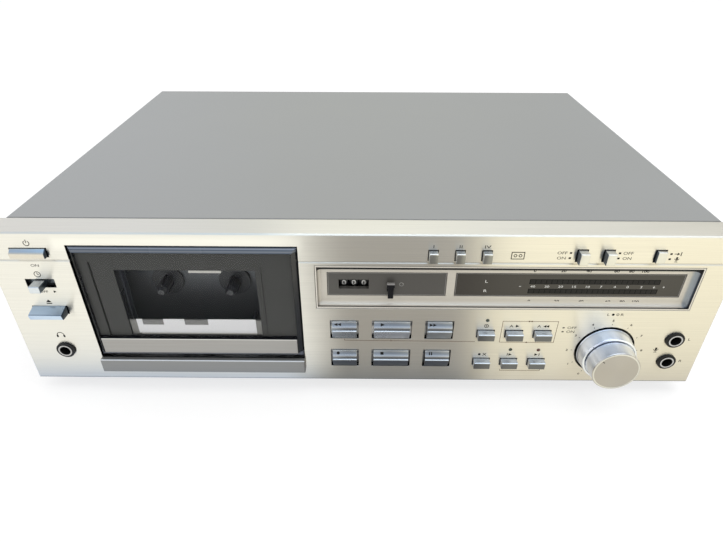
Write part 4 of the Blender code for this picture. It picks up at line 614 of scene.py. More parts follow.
SIGNS = {
    "power": (("arc", 0, 0, 1.15, 0.32, 125, 415), ("bar", 0, 0.8625, 0.32, 1.495)),
    "clock": (("arc", 0, 0, 1.3, 0.28), ("bar", 0, 0.455, 0.25, 0.91), ("bar", 0.325, 0, 0.715, 0.25)),
    "eject": (("outline", ((-1.2, -0.1), (1.2, -0.1), (0, 1.3))), ("bar", 0, -0.75, 2.4, 0.45)),
    "phones": (("arc", 0, 0, 1.5, 0.32, 0, 180), ("bar", -1.5, -0.55, 0.8, 1.3), ("bar", 1.5, -0.55, 0.8, 1.3)),
    "microphone": (
        ("bar", 0, 0.75, 0.9, 1.5),
        ("arc", 0, 0.7, 1, 0.26, 180, 360, 12),
        ("bar", 0, -0.7, 0.26, 0.9),
        ("bar", 0, -1.2, 1.5, 0.26),
    ),
    "line_input": (("bar", -0.9, 0, 1.4, 0.3), ("arrow", 0.1, 0, 1, 1.3), ("bar", 1.1, 0, 0.35, 1.8)),
    "cassette": (
        ("box", (-2.1, -1.302), (2.1, 1.302), 0.28),
        ("arc", -0.84, 0, 0.5, 0.25, 0, 360, 12),
        ("arc", 0.84, 0, 0.5, 0.25, 0, 360, 12),
    ),
}
FUNCTION_SIGNS = {
    "monitor_key": (("arc", 0, 0, 0.9, 0.28), ("disc", 0, 0, 0.35)),
    "auto_play_key": (("words", "A", -1.6, 0, 1.4), ("arrow", 1.2, 0, 1.6, 1.5)),
    "auto_rewind_key": (
        ("words", "A", -2, 0, 1.4),
        ("arrow", 0.6, 0, 1.3, 1.5, -1),
        ("arrow", 1.9, 0, 1.3, 1.5, -1),
    ),
    "record_mute_key": (
        ("disc", -1.2, 0, 0.65),
        ("line", (0.4, -0.8), (2, 0.8), 0.3),
        ("line", (0.4, 0.8), (2, -0.8), 0.3),
    ),
    "memory_start_key": (("bar", -1, 0, 0.35, 1.5), ("arrow", 0.4, 0, 1.6, 1.5)),
    "memory_end_key": (("arrow", -0.4, 0, 1.6, 1.5), ("bar", 1, 0, 0.35, 1.5)),
}
TRANSPORT_SIGNS = {
    "rewind_key": (("arrow", -1.1, 0, 2.2, 1.9, -1), ("arrow", 1.1, 0, 2.2, 1.9, -1)),
    "play_key": (("arrow", 0, 0, 2.6, 2.1),),
    "fast_forward_key": (("arrow", -1.1, 0, 2.2, 1.9), ("arrow", 1.1, 0, 2.2, 1.9)),
    "record_key": (("disc", 0, 0, 1),),
    "stop_key": (("bar", 0, 0, 2, 1.8),),
    "pause_key": (("bar", -0.65, 0, 0.7, 2), ("bar", 0.65, 0, 0.7, 2)),
}
LEFT_SIGNS = (("power", 26, 103.2), ("clock", 25.5, 82.3), ("eject", 26, 62.3), ("phones", 25.3, 36.6))
POWER_LABEL = (26, 88.4)
TIMER_SCALE = 70
TAPE_KEYS = ("tape_key_normal", "tape_key_chrome", "tape_key_metal")
TAPE_LABEL_HEIGHT = 102.6
TAPE_MARK = (303, 97)
SWITCH_MARKERS = ((332.5, 99), (332.5, 95.6), (360, 99), (360, 95.6), (389, 98.7), (389, 95.3))
MARKER_SIDE = 1.1
AUTO_BOX = ((301.5, 33.3), (335.5, 50))
LINK_LINE = ((204, 34), (286, 33.6))
LINK_TICK = 233.3
FINE_LINE = 0.3
MEMORY_BRACKET = (305, 331, 9.3)
MONITOR_MARKERS = ((339.5, 45.2), (339.5, 42.1))
LEVEL_MARK = (368.8, 55.6)
SCALE_TICK = (20.2, 21.1)
SCALE_RADIUS = 23.6
SCALE_SWEEP = 150
MIC_MARK = (401.4, 27.6)
MIC_LABEL_REACH = 9.3


def left_marks(ink):
    for name, u, v in LEFT_SIGNS:
        ink.sign(SIGNS[name], u, v)
    ink.words("ON", *POWER_LABEL, 1.7)
    middle = centre("timer_lever").x
    ink.disc(middle - 6.4, TIMER_SCALE, 0.7)
    ink.words("OFF", middle, TIMER_SCALE, 1.6)
    ink.arrow(middle + 6.6, TIMER_SCALE, 1.6, 1.8)


def upper_marks(ink):
    for node, label in zip(TAPE_KEYS, ("I", "II", "IV")):
        ink.words(label, centre(node).x, TAPE_LABEL_HEIGHT, 1.9, 1.6)
    ink.sign(SIGNS["cassette"], *TAPE_MARK, 1.7)
    for u, v in SWITCH_MARKERS:
        ink.bar(u, v, MARKER_SIDE * 1.2, MARKER_SIDE)
    for marker, side in ((0, -1), (2, 1)):
        for row, label in enumerate(("OFF", "ON")):
            u, v = SWITCH_MARKERS[marker + row]
            ink.words(label, u + side * 4.8, v, 1.8)
    u, v = SWITCH_MARKERS[4]
    ink.sign(SIGNS["line_input"], u + 4, v)
    u, v = SWITCH_MARKERS[5]
    ink.sign(SIGNS["microphone"], u + 4, v - 0.4, 1.2)


def function_marks(ink):
    """A sign over each function key: monitor, play, rewind, record mute, memory start and memory end."""
    for node, strokes in FUNCTION_SIGNS.items():
        ink.sign(strokes, centre(node).x, span(node)[1].z + 1.7, 1.35)
    for (u, v), label, reach in zip(MONITOR_MARKERS, ("OFF", "ON"), (5.2, 4.8)):
        ink.bar(u, v, MARKER_SIDE * 1.2, 0.9)
        ink.words(label, u + reach, v, 1.8)


def level_marks(ink):
    """Ticks and the numbers 0 to 10 round the level knob."""
    middle = centre("left_level_knob").xz
    for step in range(11):
        angle = radians(90 + SCALE_SWEEP - step * SCALE_SWEEP / 5)
        out = Vector((cos(angle), sin(angle)))
        start, end = (middle + out * radius for radius in SCALE_TICK)
        ink.line(start, end, 0.3)
        ink.words(str(step), *(middle + out * SCALE_RADIUS), 1.6, 1.2, 0.02)
    u, v = LEVEL_MARK
    ink.words("L", u - 4.2, v, 1.8)
    ink.disc(u - 1.4, v, 0.85)
    ink.arc(u + 1.4, v, 0.7, 0.35, steps=16)
    ink.words("R", u + 4.2, v, 1.8)
    ink.sign(SIGNS["microphone"], *MIC_MARK)
    for node, label in (("mic_jack_left", "L"), ("mic_jack_right", "R")):
        place = centre(node)
        ink.words(label, place.x + MIC_LABEL_REACH, place.z, 1.8)


def line_marks(ink):
    """The box round the auto keys, the line that links the transport keys, and the memory keys' bracket."""
    (left, bottom), (right, top) = AUTO_BOX
    ink.box(*AUTO_BOX, FINE_LINE)
    middle = (left + right) / 2
    for u, v in ((middle - 0.8, top), (middle + 0.8, top), (middle, bottom)):
        ink.bar(u, v, 0.9, 0.9)
    u, v = LINK_LINE[0]
    ink.line(*LINK_LINE, FINE_LINE)
    ink.bar(LINK_TICK, v, FINE_LINE, 1.4)
    ink.bar(u, v + 0.6, FINE_LINE, 1.2)
    left, right, height = MEMORY_BRACKET
    ink.bar((left + right) / 2, height, right - left, FINE_LINE)
    for side in (left, right):
        ink.bar(side, height + 0.6, FINE_LINE, 1.2)


def panel_marks():
    black = Print()
    left_marks(black)
    upper_marks(black)
    function_marks(black)
    level_marks(black)
    black.make("panel_print_black", facing_front(0, 0, 0), black_ink)
    brown = Print()
    line_marks(brown)
    brown_ink = finish("brown_ink", (0.15, 0.085, 0.055), 0.5, 0, 0.3, 2500, 0, edge=0.00001, ior=1.15)
    brown.make("panel_print_brown", facing_front(0, 0, 0), brown_ink)


# Key caps: how far a flange reaches past its cap, and each kind of cap from the side, as points that lie
# out from the panel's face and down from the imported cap's top

FLANGE_THICKNESS = 1.4
CAP_EDGE = 0.3
QUARTER = tuple(radians(degrees) for degrees in (0, 30, 60, 90))
TRANSPORT_OVER = 1.9
KEY_OVER = 1.7
SWITCH_OVER = 1.8
LABEL_TOP = (0.95, 0)
LABEL_FOOT = (2.4, 2.3)
SIGN_SHARE = 0.22


def nosed(reach, *rest):
    """A side view whose upper front edge is rounded off."""
    return ((reach - 0.6, 0), (reach - 0.3, 0.08), (reach - 0.08, 0.25), (reach, 0.5), *rest)


TRANSPORT_SIDE = (
    *((0.5, -0.4), (0.8, -0.3), LABEL_TOP, LABEL_FOOT, (2.9, 2.8), (2.95, 2.95), (2.85, 4.8)),
    *((3.35, 5), (3.6, 5.15), (3.7, 5.35), (3.65, 5.6), (0.2, 13.2)),
)
FUNCTION_SIDE = nosed(4.8, (4.7, 0.85), (4.45, 1.1), (4.5, 5.1), (4.3, 5.3))
POWER_SIDE = ((0.1, 0), (0.3, 0.08), (2.5, 2), (2.75, 2.3), (2.8, 2.6), (2.75, 5), (2.55, 5.2))
EJECT_SIDE = (
    *((0.5, -0.3), (0.8, -0.2), (6.6, 1.55), (6.7, 1.75), (7.1, 1.9), (7.25, 2.15)),
    *((7.2, 2.4), (6.6, 5), (6.4, 5.2)),
)
TAPE_SIDE = nosed(4.1, (4.1, 6.2), (3.9, 6.4))
SWITCH_SIDE = nosed(5, (5, 7), (4.8, 7.2))
INPUT_SIDE = nosed(2.3, (2.3, 7), (2.1, 7.2))


def key_cap(node, side, over, material):
    """Replaces a key by a cap of that side view with rounded ends, and the same flange."""
    low, high = span(node)
    back = high.y - FLANGE_THICKNESS
    top = high.z - over
    left = low.x + over
    right = high.x - over
    highest = top - side[0][1]
    lowest = top - side[-1][1]
    points = [(back + 0.2, highest), *((-out, top - down) for out, down in side), (back + 0.2, lowest)]
    sections = [(left + CAP_EDGE * (1 - cos(angle)), CAP_EDGE * (1 - sin(angle))) for angle in QUARTER]
    sections += [(left + right - x, inset) for x, inset in reversed(sections)]
    shape = bmesh.new()
    rings = []
    for x, inset in sections:
        ring = []
        for y, z in points:
            shifted = y + inset if y < back else y
            ring.append(shape.verts.new(at(x, shifted, min(max(z, lowest + inset), highest - inset))))
        rings.append(ring)
    for first, second in zip(rings, rings[1:]):
        for i in range(len(points)):
            shape.faces.new((first[i - 1], first[i], second[i], second[i - 1]))
    shape.faces.new(rings[0])
    shape.faces.new(rings[-1][::-1])
    bmesh.ops.recalc_face_normals(shape, faces=shape.faces)
    slab(shape, (low.x, back, low.z), (high.x, high.y, high.z))
    cap = add_piece(node + "_cap", shape, material, body_of(node), True)
    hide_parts(node)


def below(node, over, colour, soft, low, high, **reach):
    """A zone whose two heights are given from the top of a key's cap."""
    top = span(node)[1].z - over
    return colour, soft, {**reach, "z": (top + low, top + high)}


def satin(name, colour, zones, roughness=0.28):
    """Satin metal of several tones, which paint light and shade on the keys."""
    return finish(name, colour, roughness, 0.9, 0.08, 1500, 0.1, edge=0.0001, zones=zones)


def transport_metal():
    # Painted light: darker bands on each key's label face and above its ridge are painted shade and reflection.
    zones = []
    for node, foot in (("play_key", (0.52, 0.53, 0.53)), ("stop_key", (0.29, 0.29, 0.3))):
        key = (node, TRANSPORT_OVER)
        zones.append(below(*key, (0.25, 0.265, 0.29), 0.4, -1.8, -0.1))
        zones.append(below(*key, (0.21, 0.225, 0.25), 0.1, -4.85, -3.1))
        # Each row's lower face has its own lit or shaded tone, and the play key's is a painted highlight.
        zones.append(below(*key, foot, 0.1, -14, -5.6))
        if node == "play_key":
            low, high = span(node)
            zones.append(below(*key, (0.8, 0.8, 0.82), 0.1, -14, -5.6, x=(low.x, high.x)))
        # A painted shadow line at the foot of each key.
        zones.append(below(*key, (0.04, 0.045, 0.05), 0.15, -14, -12.6))
    return satin("transport_metal", (0.43, 0.44, 0.46), zones)


def key_caps():
    # The function keys' dark front faces are a painted reflection.
    band = ((0.15, 0.155, 0.165), 0.1, -5.4, -0.95)
    bands = [below(node, KEY_OVER, *band, y=(-6, -4.2)) for node in ("monitor_key", "record_mute_key")]
    # The power and eject buttons' dark right sides are painted shade.
    shaded_right_side = (KEY_SIDE_SHADE, 0.15, {"x": (35.1, 37)})
    # The power button's bluish top is a painted reflection.
    power = (below("power_button", KEY_OVER, (0.4, 0.45, 0.5), 0.4, -1.6, 0), shaded_right_side)
    # Painted reflection: the eject button's blue top; a dark line at its front edge is painted shade.
    eject = (
        below("eject_button", KEY_OVER, (0.5, 0.6, 0.72), 0.1, -1.5, 1),
        below("eject_button", KEY_OVER, (0.05, 0.07, 0.11), 0.05, -1.75, 0, y=(-6.9, -6.5)),
        shaded_right_side,
    )
    # The tape keys' darker front and bluish top are painted shade.
    tape = (
        below(TAPE_KEYS[0], KEY_OVER, (0.25, 0.25, 0.24), 0.15, -7, -0.8, y=(-5, -3.8)),
        below(TAPE_KEYS[0], KEY_OVER, (0.42, 0.44, 0.46), 0.05, -0.2, 1, y=(-3.4, 5)),
    )
    switches = ("noise_reduction_key", "filter_key")
    # The switches' dark left sides are painted shade.
    lefts = [span(node)[0].x + SWITCH_OVER for node in (*switches, "input_key")]
    dark_lefts = [((0.1, 0.12, 0.15), 0.05, {"x": (left - 0.2, left + 0.2)}) for left in lefts]
    switch_metal = satin("switch_metal", (0.61, 0.6, 0.57), dark_lefts, 0.3)
    for nodes, side, over, material in (
        (TRANSPORT_SIGNS, TRANSPORT_SIDE, TRANSPORT_OVER, transport_metal()),
        (FUNCTION_SIGNS, FUNCTION_SIDE, KEY_OVER, satin("function_metal", (0.57, 0.6, 0.65), bands)),
        (("power_button",), POWER_SIDE, KEY_OVER, satin("power_metal", (0.58, 0.53, 0.45), power)),
        # The eject button's blue base is a painted reflection.
        (("eject_button",), EJECT_SIDE, KEY_OVER, satin("eject_metal", (0.46, 0.54, 0.64), eject)),
        (TAPE_KEYS, TAPE_SIDE, KEY_OVER, satin("tape_metal", (0.55, 0.55, 0.54), tape, 0.3)),
        (switches, SWITCH_SIDE, SWITCH_OVER, switch_metal),
        (("input_key",), INPUT_SIDE, SWITCH_OVER, switch_metal),
    ):
        for node in nodes:
            key_cap(node, side, over, material)


def key_face(node):
    """Matrix of a transport key's sloped label face, with its origin left of the face's middle."""
    low, high = span(node)
    reach = LABEL_FOOT[0] - LABEL_TOP[0]
    drop = LABEL_FOOT[1] - LABEL_TOP[1]
    x = (low.x + high.x) / 2 - (high.x - low.x) * SIGN_SHARE
    y = -(LABEL_FOOT[0] + LABEL_TOP[0]) / 2
    z = high.z - TRANSPORT_OVER - (LABEL_FOOT[1] + LABEL_TOP[1]) / 2
    return axis_matrix((x, y, z), (1, 0, 0), (0, reach, drop))


def key_signs():
    for node, strokes in TRANSPORT_SIGNS.items():
        ink = Print()
        ink.draw(strokes)
        ink.make(node + "_sign", key_face(node), black_ink, body_of(node))


# Lamps

LAMP_RADIUS = 1.15
DOME_RADIUS = 0.82 * LAMP_RADIUS
LAMP_REACH = 0.5
LAMPS = (("monitor_lamp", 292, 50.5), ("memory_start_lamp", 309.5, 27.2), ("memory_end_lamp", 327.3, 27))


def domed(radius, reach, share):
    """Points of a dome that starts at a share of its reach, without its foot and its top."""
    angles = [radians(18 * step) for step in range(1, 5)]
    return [(radius * cos(angle), reach * (share + (1 - share) * sin(angle))) for angle in angles]


def lamps():
    """A low dome with a rim for each indicator. The last is red."""
    dark = finish("lamp_dark_lens", (0.03, 0.045, 0.03), 0.2, 0, 0.3, coat=0.5)
    red = finish("lamp_red_lens", (0.1, 0.02, 0.015), 0.2, 0, 0.3, coat=0.5)
    rim = LAMP_REACH * 0.3
    dome = [(0, -INK_ROOT), (LAMP_RADIUS, -INK_ROOT), (LAMP_RADIUS, rim), (DOME_RADIUS, rim)]
    dome += [*domed(DOME_RADIUS, LAMP_REACH, 0.3), (0, LAMP_REACH)]
    for (name, x, z), material in zip(LAMPS, (dark, dark, red)):
        shape = bmesh.new()
        turn(shape, dome, facing_front(x, 0, z), 32)
        add_piece(name, shape, material, smooth=True)


# Display: plates, meters and their scales

METER_LEFT = 313
METER_RIGHT = 388.3
METER_ROWS = ((74.8, 78.3), (68, 71.5))
METER_SEGMENTS = 24
METER_LABEL = 287.6
METER_MINUS = 307.6
METER_PLUS = 391.6
NUMBER_ROW = 73.1
METER_NUMBERS = {
    "40": 315, "30": 323.3, "20": 331.3, "15": 339.3, "10": 347.3, "7": 355, "4": 363, "0": 370.5,
    "3": 378.5, "6": 386,
}
SIDE_NUMBERS = {"0": 314.5, "20": 331, "40": 345.5, "60": 361.5, "80": 370, "100": 378}
SIDE_ROWS = (87, 65.5)
PLATE_VIEW = (66.1, 82.3)
PLATE_EDGE = 1.2
PLATE_LINE = 0.35


def meter_face():
    """Two rows of lamps between the numbers, on the front of the meter's plate."""
    face = span("meter_module")[0].y

    def shown(x):
        return seen(x, 0, face)[0]

    matrix = facing_front(0, face, 0)
    pitch = (METER_RIGHT - METER_LEFT) / METER_SEGMENTS
    left = shown(METER_LEFT)
    right = shown(METER_RIGHT)
    windows = Print()
    segments = Print()
    ink = Print()
    for (bottom, top), label in zip(METER_ROWS, ("L", "R")):
        middle = (bottom + top) / 2
        windows.bar((left + right) / 2, middle, right - left + 0.8, top - bottom)
        for i in range(METER_SEGMENTS):
            u = shown(METER_LEFT + (i + 0.5) * pitch)
            segments.bar(u, middle, pitch * 0.8, (top - bottom) * 0.7)
        ink.words(label, shown(METER_LABEL), middle, 1.8, 1.4)
    for label, x in METER_NUMBERS.items():
        ink.words(label, shown(x), NUMBER_ROW, 1.5, 1.4)
    for x in (METER_MINUS, METER_PLUS):
        ink.bar(shown(x), NUMBER_ROW, 1.2, 0.3)
    ink.bar(shown(METER_PLUS), NUMBER_ROW, 0.3, 1.2)
    glass = finish("segment_glass", (0.01, 0.01, 0.01), 0.22, 0, 0.2, 1500, 0.05, ior=1.25)
    lit = finish("segment_pale", (0.018, 0.017, 0.016), 0.3, 0, 0.2, 1500, 0.05, ior=1.25)
    windows.make("meter_windows", matrix, glass, "root")
    segments.make("meter_segments", matrix, lit, "root", 2 * INK)
    ink.make("meter_numbers", matrix, white_ink, "root")


def plate_outlines():
    """A thin pale line round each brown plate, a painted highlight of its edge, and the reset sign beside its
    lever.
    """
    ink = Print()
    inset = PLATE_EDGE + PLATE_LINE
    bottom, top = PLATE_VIEW
    for node in ("counter_housing", "meter_module"):
        low, high = span(node)
        ink.box((low.x + inset, bottom + PLATE_LINE), (high.x - inset, top - PLATE_LINE), 0.22)
    lever = centre("counter_reset_lever")
    ink.arc(lever.x + 6.5, lever.z + 2.6, 1.2, 0.28, 60, 360)
    ink.arrow(lever.x + 7.5, lever.z + 3.1, 0.9, 0.9)
    grey_print_and_highlight = finish("grey_print_and_highlight", (0.34, 0.33, 0.31), 0.5, 0, 0.2, 2500, 0, edge=0.00001)
    ink.make("plate_highlights_and_reset_sign", facing_front(0, span("counter_housing")[0].y, 0), grey_print_and_highlight, "root")


def bezel_scale():
    """Small dark numbers on the bezel, above and below the meter's plate."""
    floor = span("meter_module")[0].y - 0.2
    ink = Print()
    for row in SIDE_ROWS:
        for label, x in SIDE_NUMBERS.items():
            ink.words(label, *seen(x, row, floor), 1.8, 1.3, 0.02)
    ink.make("bezel_numbers", facing_front(0, floor, 0), black_ink)


# Counter wheels

WHEEL_BORE = 1.3
WHEEL_DIGIT = 4.2
WHEEL_DIGIT_TURN = -12
DIGIT_APART = 100


def counter_wheel(node):
    """A wheel with ten digits round its rim. The 0 lies where the window shows it."""
    low, high = span(node)
    middle = (low + high) / 2
    radius = (high.z - low.z) / 2
    half = (high.x - low.x) / 2
    rim = radius - 0.15
    profile = [
        *((WHEEL_BORE, -half), (radius - 0.6, -half), (rim, -half + 0.3)),
        *((rim, half - 0.3), (radius - 0.6, half), (WHEEL_BORE, half)),
    ]
    matrix = axis_matrix(middle, (0, -1, 0), (0, 0, 1))
    turned_piece(node + "_drum", node, profile, matrix, black_plastic, 96)
    ink = Print()
    for digit in range(10):
        ink.words(str(digit), 0, digit * DIGIT_APART, WHEEL_DIGIT, 1, 0.03)
    bmesh.ops.triangulate(ink.shape, faces=ink.shape.faces)

    def bend(place):
        digit = round(place.y / DIGIT_APART)
        rise = place.y - digit * DIGIT_APART
        angle = radians(WHEEL_DIGIT_TURN - digit * 36) + rise / rim
        reach = rim + place.z
        return Vector((place.x, reach * sin(angle), reach * cos(angle)))

    ink.make(node + "_digits", facing_front(*middle), white_ink, body_of(node), bend=bend)


# Level knobs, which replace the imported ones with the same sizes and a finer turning

KNOB_POINTER = 51
RING_GAP = 0.7
KNOB_BORE = 3
RING_BORE = 3.3
RING_WELL = 5.5
RING_MOUTH = 15.15
KNOB_FRONT = 14.3


def level_knobs():
    low, high = span("left_level_knob")
    middle = (low + high) / 2
    matrix = facing_front(middle.x, 0, middle.z)
    back = (high.x - low.x) / 2 - RING_GAP
    front = back - 0.9
    reach = -low.y
    ring = [
        *((RING_BORE, -high.y), (RING_WELL, -high.y), (RING_WELL, reach - 2), (front - 1.5, reach - 2)),
        *((back - 1.5, -1.2), (back, -1.2), (back, 0.6), (back - 0.25, 0.9)),
        *((front + 0.05, reach - 0.55), (front - 0.1, reach - 0.25), (front - 0.45, reach - 0.05)),
        *((front - 0.8, reach), (RING_MOUTH + 0.15, reach), (RING_MOUTH, reach - 0.2)),
        *((RING_MOUTH, reach - 1), (RING_BORE, reach - 1)),
    ]
    turned_piece("level_ring", "left_level_knob", ring, matrix, knob_metal)

    low, high = span("right_level_knob")
    tip = -low.y
    start = reach + 0.3
    knob = [
        *((0, -high.y), (KNOB_BORE, -high.y), (KNOB_BORE, start), (KNOB_FRONT + 0.2, start)),
        *((KNOB_FRONT + 0.45, start + 0.3), (KNOB_FRONT + 0.43, start + 0.8), (KNOB_FRONT + 0.02, tip - 0.8)),
        *((KNOB_FRONT, tip - 0.55), (KNOB_FRONT - 0.2, tip - 0.2), (KNOB_FRONT - 0.5, tip - 0.03)),
        *((KNOB_FRONT - 0.8, tip), (KNOB_FRONT - 1.25, tip), (KNOB_FRONT - 1.4, tip - 0.12), (0, tip - 0.12)),
    ]
    turned_piece("level_knob", "right_level_knob", knob, matrix, knob_metal)

    angle = radians(90 + KNOB_POINTER)
    direction = Vector((cos(angle), sin(angle)))
    for name, node, start, end, height in (
        ("level_ring_mark", "left_level_knob", 15.35, 16.15, reach),
        ("level_knob_mark", "right_level_knob", 11, 12.6, tip - 0.12),
    ):
        ink = Print()
        ink.line(direction * start, direction * end, 0.5)
        lifted = matrix @ Matrix.Translation((0, 0, height))
        ink.make(name, lifted, black_ink, body_of(node))


# Cassette door, by what the camera sees of it on the panel's face

CLEAR_VIEW = ((70.8, 35), (152.8, 85.6))
# Black lines painted where the mask is grooved, as the shade in its grooves.
MASK_GROOVES = ((57.5, 36, 91, 1.3), (156.3, 38, 88, 0.4))
DOOR_OPENING = (70.7, 154.6)
DOOR_OPENING_FOOT = 37
STRIP = ((76, 39.3), (149.5, 50))
HOLDER_TOP = 49
STRIP_NOTCHES = ((79.5, 92.5), (105.5, 120))
STRIP_NOTCH_BOTTOM = 45.6
STRIP_DEPTH = 1.4
TAB = ((114, 83.8), (133, 86))
# Painted light: the holder is pale below the strip, where it lies in shade, darker over the notches as their
# shade.
HOLDER_END = (0.27, 0.265, 0.245)
HOLDER_ZONES = (
    ((0.24, 0.24, 0.23), 0.1, {"x": (76.5, 149), "z": (44.3, 60)}),
    # The holder's ends are painted darker.
    (HOLDER_END, 0.1, {"x": (66, 76.5), "z": (30, 60)}),
    (HOLDER_END, 0.1, {"x": (149, 160), "z": (30, 60)}),
)


def window_mask():
    """The grey frame printed on the back of the smoked window, with the clear view left open."""
    low, high = span("door_window")
    front = high.y + 0.06
    depth = high.y + 0.12
    left, bottom = seen(*CLEAR_VIEW[0], depth)
    right, top = seen(*CLEAR_VIEW[1], depth)
    bottom = max(bottom, low.z + 0.4)
    shape = bmesh.new()
    slab(shape, (low.x, front, low.z), (left, depth, high.z))
    slab(shape, (right, front, low.z), (high.x, depth, high.z))
    slab(shape, (left, front, top), (right, depth, high.z))
    slab(shape, (left, front, low.z), (right, depth, bottom))
    mask_grey = finish("mask_grey", (0.064, 0.064, 0.06), 0.5, 0, 0.1, 1200, 0.1, ior=1.3)
    add_piece("window_mask", shape, mask_grey, "door")
    # The grooves' shade is painted as black lines.
    ink = Print()
    for x, base, head, width in MASK_GROOVES:
        u, v = seen(x, base, front)
        _, w = seen(x, head, front)
        ink.bar(u, (v + w) / 2, width, w - v)
    ink.make("window_mask_grooves", facing_front(0, front, 0), black_ink, "door")


def guide_strip():
    """The pale guide at the view's foot, with two notches, its holder, and the tab at the view's head."""
    depth = STRIP_DEPTH
    beige = finish("strip_beige", (0.74, 0.73, 0.67), 0.45, 0, 0.08, 1200, 0.1, zones=HOLDER_ZONES)
    _, top = seen(0, HOLDER_TOP, depth)
    shape = bmesh.new()
    left, right = DOOR_OPENING
    slab(shape, (left + 0.1, depth, DOOR_OPENING_FOOT - 2.4), (right - 0.1, depth + 1.2, top), 0.15)
    add_piece("guide_holder", shape, beige, "door")
    left, bottom = seen(*STRIP[0], depth)
    right, top = seen(*STRIP[1], depth)
    _, notch = seen(0, STRIP_NOTCH_BOTTOM, depth)
    shape = bmesh.new()
    edges = [left, *(seen(x, 0, depth)[0] for ends in STRIP_NOTCHES for x in ends), right]
    slab(shape, (left, depth - 0.35, bottom), (right, depth + 0.1, notch), 0.08)
    for start, end in zip(edges[::2], edges[1::2]):
        slab(shape, (start, depth - 0.35, notch), (end, depth + 0.1, top), 0.08)
    white = finish("strip_white", (0.97, 0.97, 0.98), 0.4, 0, 0.05, 1200, 0.05)
    add_piece("guide_strip", shape, white, "door")
    shape = bmesh.new()
    left, bottom = seen(*TAB[0], depth)
    right, top = seen(*TAB[1], depth)
    slab(shape, (left, depth, bottom), (right, depth + 1, top + 1.5), 0.2)
    add_piece("view_tab", shape, beige, "door")


# Fasteners, feet and rear jacks

COVER_SCREW_INSET = 40
COVER_SCREW_HEIGHT = 18
REAR_SCREWS = (16, 215, 414)
REAR_SCREW_HEIGHT = 98
JACK_BLOCK_BACK = 300.4
JACK_COLUMNS = (298, 314)
JACK_ROWS = (("white", 66, (0.75, 0.74, 0.7), 0.08), ("red", 50, (0.35, 0.02, 0.015), 0.15))


def screw_head(shape, matrix, radius=2.6, reach=1.5):
    """A pan head with a recess."""
    profile = [(0, -0.05), (radius, -0.05), (radius, reach * 0.35), *domed(radius, reach, 0.35)]
    profile += [(radius * 0.28, reach), (0, reach - 0.7)]
    turn(shape, profile, matrix, 32)


def case_screws():
    low, high = span("top_cover")
    for side, x, right in (("left", low.x, (0, -1, 0)), ("right", high.x, (0, 1, 0))):
        shape = bmesh.new()
        for y in (low.y + COVER_SCREW_INSET, high.y - COVER_SCREW_INSET):
            screw_head(shape, axis_matrix((x, y, COVER_SCREW_HEIGHT), right, (0, 0, 1)))
        add_piece("cover_screws_" + side, shape, black_plastic, smooth=True)
    shape = bmesh.new()
    for x in REAR_SCREWS:
        screw_head(shape, facing_rear(x, span("chassis_pan")[1].y, REAR_SCREW_HEIGHT), 2.4, 1.3)
    add_piece("rear_screws", shape, black_plastic, smooth=True)


def foot_pads():
    for node in ("foot_front_left", "foot_front_right", "foot_rear_left", "foot_rear_right"):
        low, high = span(node)
        middle = (low + high) / 2
        radius = (high.x - low.x) / 2
        tip = radius - 2
        height = high.z - low.z
        profile = [
            *((0, 0), (radius, 0), (radius, 1.2), (radius - 0.35, 1.6), (tip + 0.5, height - 1.2)),
            *((tip, height - 0.3), (tip - 0.5, height), (tip - 3, height), (tip - 3.4, height - 0.5)),
            *((4.4, height - 0.5), (4, height - 1), (4, height - 5), (0, height - 5)),
        ]
        matrix = axis_matrix((middle.x, middle.y, high.z), (1, 0, 0), (0, -1, 0))
        turned_piece(node + "_pad", node, profile, matrix, rubber, 96)


def jack_rings():
    """A red and a white collar on the line jacks, in two pairs."""
    collar = [(4.25, 0.35), (5.6, 0.35), (5.6, 1.6), (5.2, 2), (4.25, 2)]
    for name, z, colour, contrast in JACK_ROWS:
        shape = bmesh.new()
        for x in JACK_COLUMNS:
            turn(shape, collar, facing_rear(x, JACK_BLOCK_BACK, z), 48)
        plastic = finish("signal_" + name, colour, 0.4, 0, contrast)
        add_piece("line_rings_" + name, shape, plastic, smooth=True)


# Stage

WORLD_LIGHT = 0.85
FLOOR_GLOW = 0.72
FLOOR_SHADOW = 0.34
WHITE = (1, 1, 1, 1)


def stage_piece(name, shape):
    """An object that isn't part of the deck, and the graph of its material."""
    thing = new_object(name, shape)
    made = bpy.data.materials.new(name)
    thing.data.materials.append(made)
    thing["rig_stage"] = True
    return thing, Graph(made)


def seen_directly(graph):
    """1 for camera, glossy and transmission rays, and 0 for the rest."""
    ray = graph.add("LightPath").outputs
    looked_at = graph.math("ADD", ray["Is Camera Ray"], ray["Is Glossy Ray"])
    looked_at = graph.math("ADD", looked_at, ray["Is Transmission Ray"])
    return graph.math("MINIMUM", looked_at, 1)


def white_floor():
    """A pale floor that shows white, and keeps the deck's soft shadow."""
    shape = bmesh.new()
    bmesh.ops.create_grid(shape, x_segments=1, y_segments=1, size=30)
    _, graph = stage_piece("floor", shape)
    glow = graph.out("Emission", {"Color": WHITE, "Strength": FLOOR_GLOW})
    faint = graph.out("BsdfDiffuse", {"Color": (FLOOR_SHADOW, FLOOR_SHADOW, FLOOR_SHADOW, 1)})
    plain = graph.out("BsdfDiffuse", {"Color": (0.8, 0.8, 0.8, 1)})
    shown = graph.out("AddShader", {0: glow, 1: faint})
    either = graph.out("MixShader", {0: seen_directly(graph), 1: plain, 2: shown})
    graph.add("OutputMaterial", {"Surface": either})


# Light that only reflections show: radiance by direction, in front low down, in front overhead, and behind

SCREEN_RADIUS = 4
COOL_MIDDLE = (0.72, 0.86, 1.05)
COOL_TOP = (0.88, 1.25, 1.6)
MIRROR_POINT = (0.001, 0.114)

